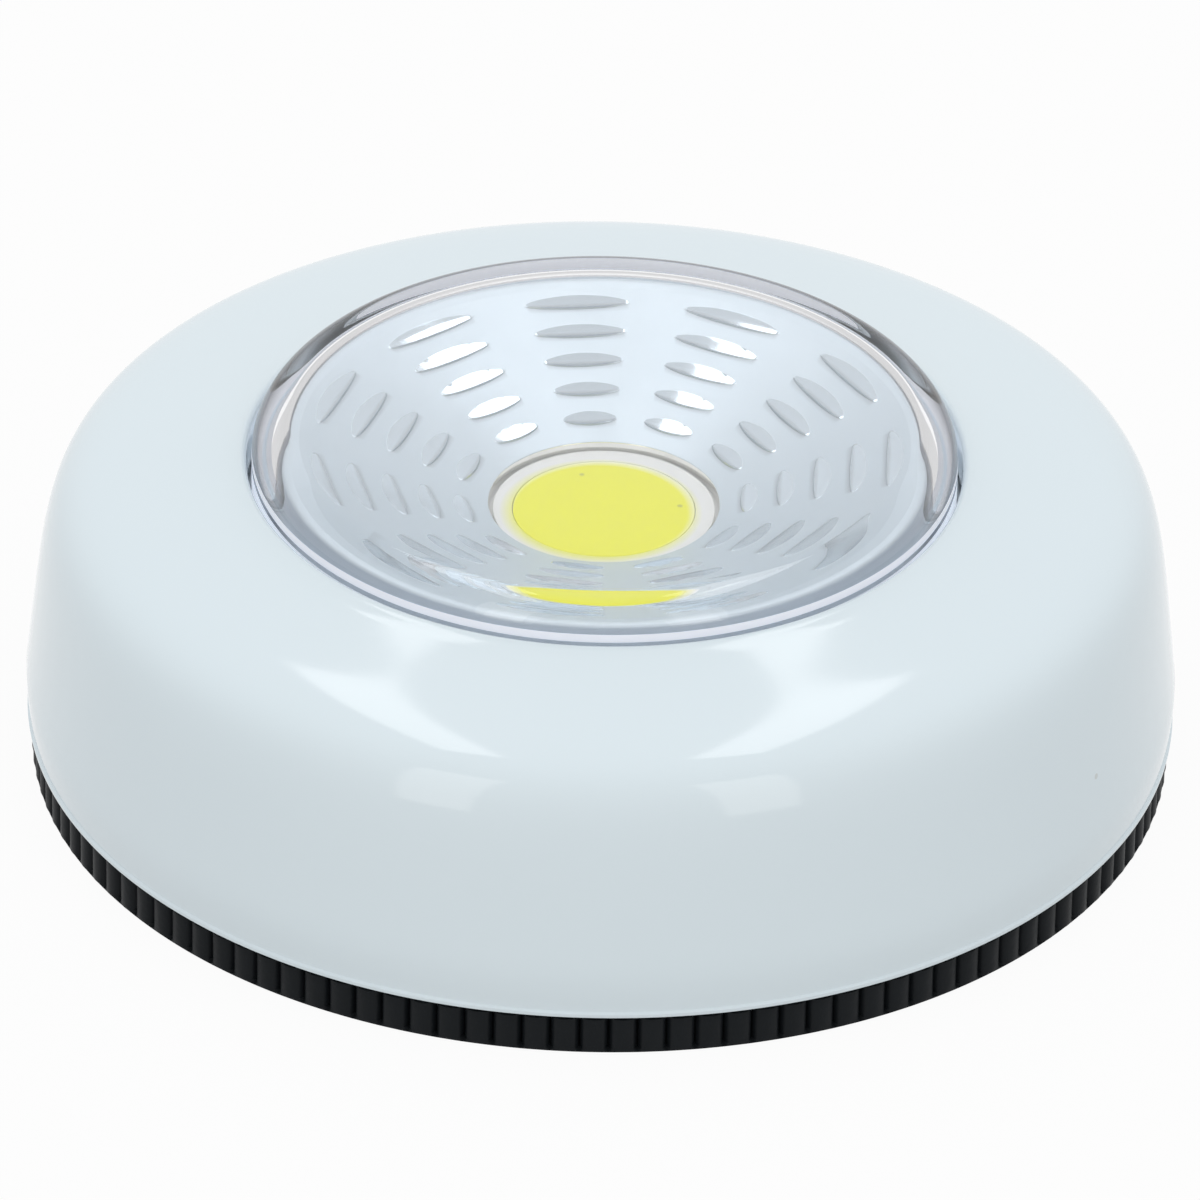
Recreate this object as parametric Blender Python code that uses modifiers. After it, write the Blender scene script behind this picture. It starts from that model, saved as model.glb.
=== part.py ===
"""Battery puck light with a press-to-switch lens, in metres, +Z up.

A ribbed base is fixed to a wall or shelf. The lamp body twists onto its three hooks. Inside it a tray
carries three cells in a triangle round the switch. The clear lens, its reflector and the light source
slide down together against three springs and press the switch.
The origin is the centre of the underside, and both joints lie on the Z axis.
"""

import math

import bmesh
import bpy
from mathutils import Matrix, Vector

# General clearances
seat_gap = 0.0003
bond_gap = 0.0001
overrun = 0.002
sink = 0.0004

# Cells and their contacts
cell_diameter = 0.0103
cell_length = 0.0444
cell_edge = 0.0003
nub_diameter = 0.0038
nub_height = 0.0009
bay_clearance = 0.0003
contact_gap = 0.00015
contact_thickness = 0.0003
contact_height = 0.006
contact_reach = 0.0038
contact_spring_height = 0.0016
contact_spring_base_radius = 0.0033
contact_spring_tip_radius = 0.0014
contact_spring_wire = 0.0003
contact_spring_turns = 3
terminal_spacing = 0.0018
terminal_tab_length = 0.003

# Battery tray
tray_wall = 0.0009
tray_roof = 0.0008
tray_corner_rim = 0.0007
tray_play = 0.0008
tray_draft = 0.0014
well_floor = 0.001
well_depth = 0.0057
corner_pocket_wall = 0.0015
lead_slot_width = 0.0034
link_notch_reach = 0.0017
link_notch_width = 0.0039
lead_slot_headroom = 0.0009

# Base
pad_thickness = 0.001
pad_proud = 0.0003
pad_inner_radius = 0.0145
pad_outer_radius = 0.027
base_floor = 0.0017
base_rim_height = 0.0023
rib_count = 126
rib_depth = 0.0006
rib_inset = 0.0003
rib_chamfer = 0.0005
rib_groove_share = 0.26
spigot_play = 0.0004
spigot_wall = 0.0008
spigot_height = 0.0016
mount_hole_radius = 0.0019
mount_head_radius = 0.0035
mount_hole_spacing = 0.018

# Twist lock
hook_width = 0.008
hook_wall = 0.0015
hook_lip = 0.0012
hook_overlap = 0.0012
hook_play = 0.0014
hook_lead = 0.0006
hook_stop_width = 0.001
ledge_thickness = 0.0014
ledge_root = 0.0008

# Housing
shell_wall = 0.0019
opening_clearance = 0.00035
opening_round = 0.0004
lens_proud = 0.00255
side_height = 0.0032
side_lean_share = 0.13
side_rise_share = 1.02
crown_lean_share = 0.04
crown_rise_share = 0.83
dome_points = 8
collar_wall = 0.0014
rim_round = 0.0003
boss_radius = 0.0024
boss_bore_radius = 0.0012
boss_inset = 0.0040

# Moving head
press_travel = 0.0012
press_margin = 0.0005
led_board_radius = 0.0115
led_board_thickness = 0.001
phosphor_radius = 0.0059
phosphor_thickness = 0.00022
dam_width = 0.0013
dam_height = 0.00032
reflector_wall = 0.0009
reflector_lip = 0.0005
reflector_width = 0.0134
reflector_rise = 0.0047
reflector_skirt = 0.0009
flange_width = 0.0033
flange_thickness = 0.001
facet_columns = 11
facet_rows = 5
facet_row_pitch = 0.00234
facet_margin = 0.001
facet_height = 0.00032
facet_turn = math.radians(96.3)
facet_half_share = 0.24
facet_crest_share = 0.25
facet_steps = 6
lens_wall = 0.00155
lens_plate = 0.0016
lens_headroom = 0.0008
lens_shoulder = 0.0024
lens_fit = 0.0004
stake_radius = 0.0007
stake_head_radius = 0.0014
stake_head_thickness = 0.0005
stake_hole_radius = 0.001
stake_circle = 0.0097

# Return springs
return_spring_radius = 0.00165
return_spring_wire = 0.0004
return_spring_turns = 4
spring_cup_radius = 0.0025
spring_cup_drop = 0.0012
guide_pin_radius = 0.0011
guide_pin_margin = 0.0006

# Switch and board
board_thickness = 0.001
board_play = 0.0005
board_screw_inset = 0.0024
switch_width = 0.0078
switch_height = 0.0040
switch_chamfer = 0.0005
switch_floor = 0.0005
plunger_radius = 0.0017
plunger_play = 0.0003
plunger_depth_play = 0.0003
resistor_radius = 0.0011
resistor_length = 0.0058
resistor_waist = 0.0002
resistor_knob_share = 0.6
resistor_pitch = 0.0084
resistor_wire = 0.0003
resistor_inset = 0.004
lead_radius = 0.00045
led_lead_spacing = 0.006
led_lead_inset = 0.0039
led_lead_slack = 0.0011

# Screws
screw_radius = 0.0009
screw_clearance = 0.0003
screw_head_radius = 0.0018
screw_head_height = 0.001
screw_crown_share = 0.7
tray_screw_length = 0.0042
board_screw_length = 0.0026
head_screw_length = 0.0021

# Fineness of round shapes
body_steps = 60
board_steps = 28
small_steps = 16
screw_steps = 8
weld_distance = 0.000001
turn_weld_distance = 0.00001
wire_points_per_turn = 8
arc_steps = 4

# Layout of the three cell bays
bay_count = 3
bay_width = cell_diameter + 2 * bay_clearance
bay_length = cell_length + contact_spring_height + 2 * contact_thickness + 5 * contact_gap
bay_inner = bay_length / (2 * math.tan(math.pi / bay_count))
bay_outer = bay_inner + bay_width
cell_offset = bay_inner + bay_width / 2
bay_corner_radius = math.hypot(bay_outer, bay_length / 2)
corner_radius = bay_inner / math.cos(math.pi / bay_count)
plate_station = bay_length / 2 - contact_gap - contact_thickness / 2

# Radii of the moving head, worked outwards from the light source
dam_inner_radius = phosphor_radius + bond_gap
dam_outer_radius = phosphor_radius + dam_width
reflector_hole_radius = dam_outer_radius + seat_gap
reflector_radius = reflector_hole_radius + reflector_width
lens_inner_radius = reflector_radius + lens_fit
lens_radius = lens_inner_radius + lens_wall
opening_radius = lens_radius + opening_clearance
flange_radius = lens_radius + flange_width
head_screw_circle = (lens_radius + flange_radius) / 2
return_spring_circle = reflector_radius - reflector_skirt - spring_cup_radius + sink

# Radii of the body, worked outwards from the cells or from the head, whichever needs more room
boss_circle = max(bay_corner_radius + tray_corner_rim - boss_inset, flange_radius + seat_gap + boss_radius)
tray_radius = boss_circle + boss_inset
shell_inner_radius = tray_radius + tray_play
body_radius = shell_inner_radius + shell_wall
rib_crest_radius = body_radius - rib_inset
rib_groove_radius = rib_crest_radius - rib_depth
spigot_outer_radius = shell_inner_radius - spigot_play
spigot_inner_radius = spigot_outer_radius - spigot_wall
hook_lip_radius = spigot_outer_radius - hook_play
ledge_inner_radius = hook_lip_radius - hook_overlap
hook_outer_radius = ledge_inner_radius - seat_gap
hook_inner_radius = hook_outer_radius - hook_wall
well_radius = bay_inner - tray_wall
corner_pocket_radius = bay_inner - return_spring_circle * math.cos(math.pi / bay_count) - corner_pocket_wall
board_radius = well_radius - board_play
board_screw_circle = board_radius - board_screw_inset
resistor_offset = board_radius - resistor_inset
led_lead_offset = board_radius - led_lead_inset
ledge_width = hook_width - 2 * (sink + seat_gap)

# Heights worked upwards from the underside
base_bottom = pad_proud
floor_top = base_bottom + base_floor
base_rim_top = base_bottom + base_rim_height
spigot_top = base_rim_top + spigot_height - seat_gap
shell_bottom = base_rim_top + seat_gap
ledge_bottom = spigot_top + seat_gap
ledge_top = ledge_bottom + ledge_thickness
hook_lip_bottom = ledge_top + seat_gap
hook_top = hook_lip_bottom + hook_lip
cell_axis = floor_top + seat_gap + cell_diameter / 2
tray_bottom = spigot_top + seat_gap
roof_bottom = cell_axis + bay_width / 2
roof_top = roof_bottom + tray_roof
well_top = roof_top - well_depth
board_bottom = well_top + seat_gap
board_top = board_bottom + board_thickness
switch_bottom = board_top + bond_gap
switch_top = switch_bottom + switch_height

# Heights of the moving head
led_board_bottom = roof_top + press_travel + press_margin
led_board_top = led_board_bottom + led_board_thickness
light_bottom = led_board_top + bond_gap
reflector_bottom = led_board_top + seat_gap
dish_bottom = reflector_bottom + reflector_lip
dish_top = dish_bottom + reflector_rise
lens_underside = dish_top + lens_headroom
lens_top = lens_underside + lens_plate
opening_height = lens_top - lens_proud
flange_bottom = roof_top + press_travel + screw_head_height + 2 * contact_gap + bond_gap
flange_top = flange_bottom + flange_thickness
lens_flange_bottom = flange_top + contact_gap
lens_flange_top = lens_flange_bottom + flange_thickness
collar_bottom = lens_flange_top + seat_gap
plunger_top = led_board_bottom - seat_gap
plunger_bottom = switch_bottom + switch_floor + press_travel + plunger_depth_play
boss_bottom = roof_top + seat_gap

axes = {}


def clear_scene():
    for item in list(bpy.data.objects):
        bpy.data.objects.remove(item, do_unlink=True)


def new_collection(name):
    collection = bpy.data.collections.new(name)
    bpy.context.scene.collection.children.link(collection)
    return collection


def finish(name, colour, roughness, metallic=0.0, transmission=0.0):
    made = bpy.data.materials.new(name)
    made.use_nodes = True
    made.diffuse_color = (*colour, 1.0)
    shader = made.node_tree.nodes["Principled BSDF"]
    shader.inputs["Base Color"].default_value = (*colour, 1.0)
    shader.inputs["Roughness"].default_value = roughness
    shader.inputs["Metallic"].default_value = metallic
    shader.inputs["Transmission Weight"].default_value = transmission
    return made


def make_finishes():
    return {
        "white": finish("white_plastic", (0.80, 0.85, 0.87), 0.22),
        "black": finish("black_plastic", (0.018, 0.018, 0.020), 0.45),
        "foam": finish("grey_foam", (0.25, 0.26, 0.27), 0.95),
        "tray": finish("tray_plastic", (0.72, 0.73, 0.74), 0.40),
        "clear": finish("clear_plastic", (0.95, 0.95, 0.98), 0.03, transmission=1.0),
        "mirror": finish("metallised_plastic", (0.82, 0.84, 0.87), 0.12, metallic=1.0),
        "sleeve": finish("cell_sleeve", (0.10, 0.20, 0.34), 0.30),
        "nickel": finish("nickel_plate", (0.62, 0.60, 0.56), 0.25, metallic=1.0),
        "steel": finish("zinc_steel", (0.55, 0.56, 0.58), 0.35, metallic=1.0),
        "board": finish("board_laminate", (0.03, 0.22, 0.11), 0.45),
        "mask": finish("white_solder_mask", (0.86, 0.87, 0.86), 0.40),
        "phosphor": finish("phosphor_gel", (0.86, 0.90, 0.10), 0.35),
        "switch": finish("switch_plastic", (0.03, 0.03, 0.035), 0.40),
        "resistor": finish("resistor_lacquer", (0.55, 0.42, 0.26), 0.40),
        "red": finish("red_lead", (0.60, 0.03, 0.03), 0.40),
        "dark": finish("black_lead", (0.02, 0.02, 0.02), 0.40),
    }


def hang_axis(name, height):
    """An empty on the Z axis, where both joints lie, that carries one moving body."""
    axis = bpy.data.objects.new(name, None)
    axis.empty_display_size = body_radius
    axis.location = (0, 0, height)
    bpy.context.scene.collection.objects.link(axis)
    axes[name] = axis
    return axis


def place(item, parent, location, rotation):
    item.location = location
    item.rotation_euler = rotation
    if parent is not None:
        item.parent = parent
        item.matrix_parent_inverse = Matrix.Translation(parent.location).inverted()


def add_part(name, mesh, material, parent=None, location=(0, 0, 0), rotation=(0, 0, 0)):
    item = bpy.data.objects.new(name, mesh)
    part_collection.objects.link(item)
    if not mesh.materials:
        mesh.materials.append(material)
    place(item, parent, location, rotation)
    return item


def add_cutter(name, mesh, location=(0, 0, 0), rotation=(0, 0, 0)):
    item = bpy.data.objects.new(name, mesh)
    cutter_collection.objects.link(item)
    item.hide_render = True
    item.display_type = "WIRE"
    place(item, None, location, rotation)
    return item


def cut(item, cutter, operation="DIFFERENCE"):
    modifier = item.modifiers.new(cutter.name, "BOOLEAN")
    modifier.solver = "EXACT"
    modifier.operation = operation
    modifier.object = cutter


def join(item, added):
    cut(item, added, "UNION")


def smooth(item):
    """Rounds the shading of a turned or bored piece, and keeps its real edges crisp."""
    mesh = item.data
    mesh.shade_smooth()
    if mesh.polygons:
        mesh.set_sharp_from_angle(angle=math.radians(40))


def evaluated_mesh(item):
    bpy.context.view_layer.update()
    graph = bpy.context.evaluated_depsgraph_get()
    return bpy.data.meshes.new_from_object(item.evaluated_get(graph))


def profile_mesh(name, profile, closed):
    mesh = bpy.data.meshes.new(name)
    shape = bmesh.new()
    corners = [shape.verts.new((radius, 0, height)) for radius, height in profile]
    for first, second in zip(corners, corners[1:]):
        shape.edges.new((first, second))
    if closed:
        shape.edges.new((corners[-1], corners[0]))
    shape.to_mesh(mesh)
    shape.free()
    return mesh


def turn(item, steps):
    """Sweeps a profile, drawn down its outer side, once round Z."""
    modifier = item.modifiers.new("turn", "SCREW")
    modifier.axis = "Z"
    modifier.angle = 2 * math.pi
    modifier.steps = steps
    modifier.render_steps = steps
    modifier.use_merge_vertices = True
    modifier.merge_threshold = turn_weld_distance
    modifier.use_smooth_shade = True


def turned_part(name, profile, steps, material, parent=None, closed=True, **placing):
    item = add_part(name, profile_mesh(name, profile, closed), material, parent, **placing)
    turn(item, steps)
    return item


def turned_cutter(name, profile, steps, closed=True, **placing):
    item = add_cutter(name, profile_mesh(name, profile, closed), **placing)
    turn(item, steps)
    return item


def box_mesh(name, low, high):
    low, high = Vector(low), Vector(high)
    mesh = bpy.data.meshes.new(name)
    shape = bmesh.new()
    middle = Matrix.Translation((low + high) / 2)
    bmesh.ops.create_cube(shape, size=1, matrix=middle @ Matrix.Diagonal((*(high - low), 1)))
    shape.to_mesh(mesh)
    shape.free()
    return mesh


def cylinder_mesh(name, radius, low, high, steps=small_steps, top_radius=None):
    mesh = bpy.data.meshes.new(name)
    shape = bmesh.new()
    bmesh.ops.create_cone(
        shape,
        cap_ends=True,
        segments=steps,
        radius1=radius,
        radius2=radius if top_radius is None else top_radius,
        depth=high - low,
        matrix=Matrix.Translation((0, 0, (low + high) / 2)),
    )
    shape.to_mesh(mesh)
    shape.free()
    return mesh


def screw_hole_mesh(name, low, high, steps=2 * screw_steps):
    """A clearance hole for a screw, run past both faces of what it goes through."""
    return cylinder_mesh(name, screw_radius + screw_clearance, low - overrun, high + overrun, steps)


def outline_mesh(name, outline, thickness):
    """A flat outline in XY, given its thickness evenly about Z = 0."""
    curve = bpy.data.curves.new(name, "CURVE")
    curve.dimensions = "2D"
    curve.fill_mode = "BOTH"
    curve.extrude = thickness / 2
    spline = curve.splines.new("POLY")
    spline.points.add(len(outline) - 1)
    for point, (x, y) in zip(spline.points, outline):
        point.co = (x, y, 0, 1)
    spline.use_cyclic_u = True
    return curve_mesh(name, curve)


def curve_mesh(name, curve):
    holder = bpy.data.objects.new(name, curve)
    bpy.context.scene.collection.objects.link(holder)
    mesh = evaluated_mesh(holder)
    mesh.name = name
    bpy.data.objects.remove(holder, do_unlink=True)
    shape = bmesh.new()
    shape.from_mesh(mesh)
    bmesh.ops.remove_doubles(shape, verts=shape.verts, dist=weld_distance)
    bmesh.ops.recalc_face_normals(shape, faces=shape.faces)
    shape.to_mesh(mesh)
    shape.free()
    return mesh


def wire_curve(name, points, radius, fineness):
    curve = bpy.data.curves.new(name, "CURVE")
    curve.dimensions = "3D"
    curve.bevel_depth = radius
    curve.bevel_resolution = fineness
    curve.use_fill_caps = True
    spline = curve.splines.new("POLY")
    spline.points.add(len(points) - 1)
    for point, place_ in zip(spline.points, points):
        point.co = (*place_, 1)
    return curve


def add_wire(name, points, radius, material, parent, fineness=2):
    curve = wire_curve(name, points, radius, fineness)
    curve.materials.append(material)
    item = bpy.data.objects.new(name, curve)
    part_collection.objects.link(item)
    place(item, parent, (0, 0, 0), (0, 0, 0))
    return item


def polar(radius, angle, height=0.0):
    return Vector((radius * math.cos(angle), radius * math.sin(angle), height))


def arc(centre, radius, start, end, steps=arc_steps):
    """Points on an arc in the plane of the profile, both ends included."""
    angles = [start + (end - start) * step / steps for step in range(steps + 1)]
    return [(centre[0] + radius * math.cos(a), centre[1] + radius * math.sin(a)) for a in angles]


def bay_angle(index):
    return 2 * math.pi * index / bay_count


def corner_angle(index):
    """The direction of the corner between bay index and the next one."""
    return bay_angle(index) + math.pi / bay_count


def coil_points(base_radius, tip_radius, low, high, turns, start=0.0):
    """A helix round Z from low to high, whose radius runs evenly from base to tip."""
    count = turns * wire_points_per_turn
    points = []
    for step in range(count + 1):
        share = step / count
        angle = start + 2 * math.pi * turns * share
        radius = base_radius + (tip_radius - base_radius) * share
        points.append(polar(radius, angle, low + (high - low) * share))
    return points


# Base and its pad


def rib_radius(index):
    """Each rib has three points round the rim: its groove, and the two ends of its crest."""
    return rib_groove_radius if index % 3 == 0 else rib_crest_radius


def rib_angle(index):
    rib, corner = divmod(index, 3)
    shares = (0.0, rib_groove_share, 1 - rib_groove_share)
    return 2 * math.pi * (rib + shares[corner]) / rib_count


def ribbed_disc():
    """A disc with its rim drawn out into ribs, whose lower ends are chamfered to a plain circle."""
    low = base_bottom + rib_chamfer
    mesh = cylinder_mesh("base_plate", rib_crest_radius, low, base_rim_top, 3 * rib_count)
    shape = bmesh.new()
    shape.from_mesh(mesh)
    underside = min(shape.faces, key=lambda face: face.calc_center_median().z)
    raised = bmesh.ops.extrude_face_region(shape, geom=[underside])["geom"]
    low_ring = {vert for vert in raised if isinstance(vert, bmesh.types.BMVert)}
    bmesh.ops.delete(shape, geom=[underside], context="FACES_ONLY")
    step = 2 * math.pi / (3 * rib_count)
    for vert in shape.verts:
        index = round(math.atan2(vert.co.y, vert.co.x) / step) % (3 * rib_count)
        radius = rib_groove_radius - rib_chamfer / 2 if vert in low_ring else rib_radius(index)
        height = base_bottom if vert in low_ring else vert.co.z
        vert.co = polar(radius, rib_angle(index), height)
    shape.to_mesh(mesh)
    shape.free()
    return mesh


def hook_outline():
    """The hook seen from its side: a post that turns outwards over the ledge."""
    return [
        (hook_inner_radius, floor_top - sink),
        (hook_outer_radius, floor_top - sink),
        (hook_outer_radius, hook_lip_bottom),
        (hook_lip_radius, hook_lip_bottom),
        (hook_lip_radius, hook_top - hook_lead),
        (hook_lip_radius - hook_lead, hook_top),
        (hook_inner_radius, hook_top),
    ]


def add_hooks(base):
    """Three hooks, each with a stop that ends the twist when the body is locked."""
    hook = outline_mesh("hook", hook_outline(), hook_width)
    stop_low = (hook_inner_radius + sink, -hook_width / 2 - hook_stop_width, floor_top - sink)
    stop_high = (hook_lip_radius - hook_lead, sink - hook_width / 2, hook_top - hook_lead)
    stop = box_mesh("hook_stop", stop_low, stop_high)
    for index in range(bay_count):
        angle = bay_angle(index)
        join(base, add_cutter(f"hook_{index}", hook, rotation=(math.pi / 2, 0, angle)))
        join(base, add_cutter(f"hook_stop_{index}", stop, rotation=(0, 0, angle)))


def make_base(material):
    base = add_part("base_plate", ribbed_disc(), material)
    dish_radius = spigot_inner_radius - spigot_play
    dish = cylinder_mesh("base_dish", dish_radius, floor_top, base_rim_top + overrun, body_steps)
    cut(base, add_cutter("base_dish", dish))
    spigot = [
        (spigot_outer_radius, spigot_top),
        (spigot_outer_radius, base_rim_top - sink),
        (spigot_inner_radius, base_rim_top - sink),
        (spigot_inner_radius, spigot_top),
    ]
    join(base, turned_cutter("base_spigot", spigot, body_steps))
    recess_ceiling = pad_thickness + seat_gap
    recess = [
        (pad_outer_radius + seat_gap, recess_ceiling),
        (pad_outer_radius + seat_gap, base_bottom - overrun),
        (pad_inner_radius - seat_gap, base_bottom - overrun),
        (pad_inner_radius - seat_gap, recess_ceiling),
    ]
    cut(base, turned_cutter("pad_recess", recess, board_steps))
    countersink = mount_head_radius - mount_hole_radius
    hole = [
        (0, floor_top + overrun),
        (mount_head_radius, floor_top + overrun),
        (mount_head_radius, floor_top),
        (mount_hole_radius, floor_top - countersink / 2),
        (mount_hole_radius, base_bottom - overrun),
        (0, base_bottom - overrun),
    ]
    for side in (-1, 1):
        spot = (side * mount_hole_spacing / 2, 0, 0)
        cut(base, turned_cutter(f"mount_hole_{side}", hole, small_steps, closed=False, location=spot))
    add_hooks(base)
    return base


def make_pad(material):
    profile = [
        (pad_outer_radius, pad_thickness),
        (pad_outer_radius, 0),
        (pad_inner_radius, 0),
        (pad_inner_radius, pad_thickness),
    ]
    turned_part("adhesive_pad", profile, board_steps, material)


# Housing


def dome_outline():
    """The outside of the housing, from its opening down to the start of its straight side."""
    width = body_radius - opening_radius
    rise = opening_height - side_top()
    ends = Vector((opening_radius, opening_height)), Vector((body_radius, side_top()))
    crown = Vector((body_radius - crown_lean_share * width, side_top() + crown_rise_share * rise))
    side = Vector((body_radius - side_lean_share * width, side_top() + side_rise_share * rise))
    points = []
    for step in range(dome_points + 1):
        t = step / dome_points
        point = (1 - t) ** 3 * ends[0] + 3 * (1 - t) ** 2 * t * crown
        point = point + 3 * (1 - t) * t**2 * side + t**3 * ends[1]
        points.append(point)
    return points


def side_top():
    return shell_bottom + side_height


def inset_outline(points, distance):
    """The same curve moved towards the inside by the wall, square to itself."""
    moved = []
    for index, point in enumerate(points):
        before = points[max(index - 1, 0)]
        after = points[min(index + 1, len(points) - 1)]
        along = (after - before).normalized()
        moved.append(point + Vector((along.y, -along.x)) * distance)
    return moved


def height_at(points, radius):
    """Height of a falling outline where it passes the radius."""
    for first, second in zip(points, points[1:]):
        if first.x <= radius <= second.x:
            share = (radius - first.x) / (second.x - first.x)
            return first.y + (second.y - first.y) * share
    return points[-1].y


def housing_profile():
    outside = dome_outline()
    collar_radius = opening_radius + collar_wall
    inside = inset_outline(outside, shell_wall)
    inner_run = [point for point in inside[::2] if point.x > collar_radius]
    edge = arc(
        (opening_radius + opening_round, opening_height - opening_round),
        opening_round,
        math.pi,
        math.pi / 2,
        2,
    )
    profile = edge
    profile += [tuple(point) for point in outside if point.x > opening_radius + 2 * opening_round]
    profile += [
        (body_radius - rim_round / 2, shell_bottom + rim_round),
        (body_radius - rim_round, shell_bottom),
        (shell_inner_radius, shell_bottom),
    ]
    profile += [tuple(point) for point in reversed(inner_run)]
    profile += [(collar_radius, height_at(inside, collar_radius))]
    profile += [(collar_radius, collar_bottom), (opening_radius, collar_bottom)]
    return profile


def make_housing(material, body):
    housing = turned_part("housing", housing_profile(), body_steps, material, body)
    outside = dome_outline()
    boss_top = height_at(outside, boss_circle + boss_radius) - shell_wall / 3
    boss = cylinder_mesh("housing_boss", boss_radius, boss_bottom, boss_top, 2 * screw_steps)
    bore_top = boss_top - shell_wall
    bore = cylinder_mesh("boss_bore", boss_bore_radius, boss_bottom - overrun, bore_top, screw_steps)
    ledge_low = (ledge_inner_radius, -ledge_width / 2, ledge_bottom)
    ledge_high = (shell_inner_radius + ledge_root, ledge_width / 2, ledge_top)
    ledge = box_mesh("ledge", ledge_low, ledge_high)
    for index in range(bay_count):
        spot = polar(boss_circle, corner_angle(index))
        join(housing, add_cutter(f"boss_{index}", boss, location=spot))
        cut(housing, add_cutter(f"boss_bore_{index}", bore, location=spot))
        join(housing, add_cutter(f"ledge_{index}", ledge, rotation=(0, 0, bay_angle(index))))


# Battery tray


def vault_outline():
    """End view of a bay: straight sides up to the cell's axis, and a round vault over it."""
    half = bay_width / 2
    depth = cell_axis - tray_bottom + overrun
    return [(-half, -depth), (half, -depth)] + arc((0, 0), half, 0, math.pi, 2 * arc_steps)


def make_tray(material, body):
    roof_radius = tray_radius - tray_draft
    mesh = cylinder_mesh("battery_tray", tray_radius, tray_bottom, roof_top, body_steps, roof_radius)
    tray = add_part("battery_tray", mesh, material, body)
    below = tray_bottom - overrun
    vault = outline_mesh("bay", vault_outline(), bay_length)
    side_low = (bay_outer + tray_wall, -bay_length / 2 - tray_wall, below)
    side_high = (tray_radius + overrun, bay_length / 2 + tray_wall, roof_bottom)
    side = box_mesh("side_pocket", side_low, side_high)
    pocket = cylinder_mesh("corner_pocket", corner_pocket_radius, below, roof_bottom)
    pit = cylinder_mesh("screw_pit", screw_head_radius + seat_gap, below, roof_bottom, 2 * screw_steps)
    hole = screw_hole_mesh("screw_hole", roof_bottom, roof_top, screw_steps)
    contact_top = cell_axis + contact_height / 2 + seat_gap
    notch_low = (corner_radius - link_notch_reach, -link_notch_width / 2, below)
    notch_high = (corner_radius + link_notch_reach / 2, link_notch_width / 2, contact_top)
    notch = box_mesh("link_notch", notch_low, notch_high)
    pin_top = spring_cup_bottom() - press_travel - guide_pin_margin
    pin = cylinder_mesh("guide_pin", guide_pin_radius, roof_top - sink, pin_top, small_steps // 2)
    for index in range(bay_count):
        turn_z = (0, 0, bay_angle(index))
        corner = corner_angle(index)
        axle = polar(cell_offset, bay_angle(index), cell_axis)
        cut(tray, add_cutter(f"bay_{index}", vault, location=axle, rotation=(math.pi / 2, 0, turn_z[2])))
        cut(tray, add_cutter(f"side_pocket_{index}", side, rotation=turn_z))
        cut(tray, add_cutter(f"link_notch_{index}", notch, rotation=(0, 0, corner)))
        spring_spot = polar(return_spring_circle, corner)
        screw_spot = polar(boss_circle, corner)
        cut(tray, add_cutter(f"corner_pocket_{index}", pocket, location=spring_spot))
        cut(tray, add_cutter(f"screw_pit_{index}", pit, location=screw_spot))
        cut(tray, add_cutter(f"screw_hole_{index}", hole, location=screw_spot))
        join(tray, add_cutter(f"guide_pin_{index}", pin, location=spring_spot))
    well = cylinder_mesh("well", well_radius, well_top, roof_top + overrun, board_steps)
    cut(tray, add_cutter("well", well))
    underwell = cylinder_mesh("underwell", well_radius, below, well_top - well_floor, board_steps)
    cut(tray, add_cutter("underwell", underwell))
    slot_low = (well_radius - overrun, -lead_slot_width / 2, below)
    lead_top = board_top + bond_gap + 2 * lead_radius
    slot_high = (corner_radius, lead_slot_width / 2, lead_top + lead_slot_headroom)
    slot = box_mesh("lead_slot", slot_low, slot_high)
    cut(tray, add_cutter("lead_slot", slot, rotation=(0, 0, lead_corner())))
    small_hole = screw_hole_mesh("board_hole", well_top - well_floor, well_top)
    for side_index, spot in enumerate(board_screw_spots()):
        cut(tray, add_cutter(f"board_hole_{side_index}", small_hole, location=spot))


def lead_corner():
    """The corner where the row of cells starts and ends, so where the two leads come out."""
    return corner_angle(bay_count - 1)


# Cells and contacts


def make_cells(material, body):
    radius = cell_diameter / 2
    half = cell_length / 2
    shoulder = half - nub_height
    profile = [
        (0, half),
        (nub_diameter / 2, half),
        (nub_diameter / 2, shoulder),
        (radius - cell_edge, shoulder),
        (radius, shoulder - cell_edge),
        (radius, cell_edge - half),
        (radius - cell_edge, -half),
        (0, -half),
    ]
    station = plate_station - contact_thickness / 2 - contact_gap - half
    for index in range(bay_count):
        angle = bay_angle(index)
        centre = Matrix.Rotation(angle, 3, "Z") @ Vector((cell_offset, station, cell_axis))
        turned_part(
            f"battery_{index + 1}",
            profile,
            small_steps,
            material,
            body,
            closed=False,
            location=centre,
            rotation=(-math.pi / 2, 0, angle),
        )


def strip_outline(path, thickness):
    """A strip of even thickness along a bent path, mitred at its bends."""
    left, right = [], []
    for index, point in enumerate(path):
        before = path[max(index - 1, 0)]
        after = path[min(index + 1, len(path) - 1)]
        first = (point - before).normalized() if index else (after - point).normalized()
        second = (after - point).normalized() if index < len(path) - 1 else first
        normal = Vector((-(first + second).y, (first + second).x)).normalized()
        reach = thickness / 2 / normal.dot(Vector((-first.y, first.x)))
        left.append(point + normal * reach)
        right.append(point - normal * reach)
    return [tuple(point) for point in left + right[::-1]]


def plate_point(reach_x, side):
    """A point on a bay's end plate, in the frame of the corner that it stands at."""
    lean = math.pi / bay_count
    along = Vector((math.cos(lean), -math.sin(lean))) * reach_x
    away = Vector((math.sin(lean), math.cos(lean))) * plate_station
    point = along + away
    return Vector((point.x, side * point.y))


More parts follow.
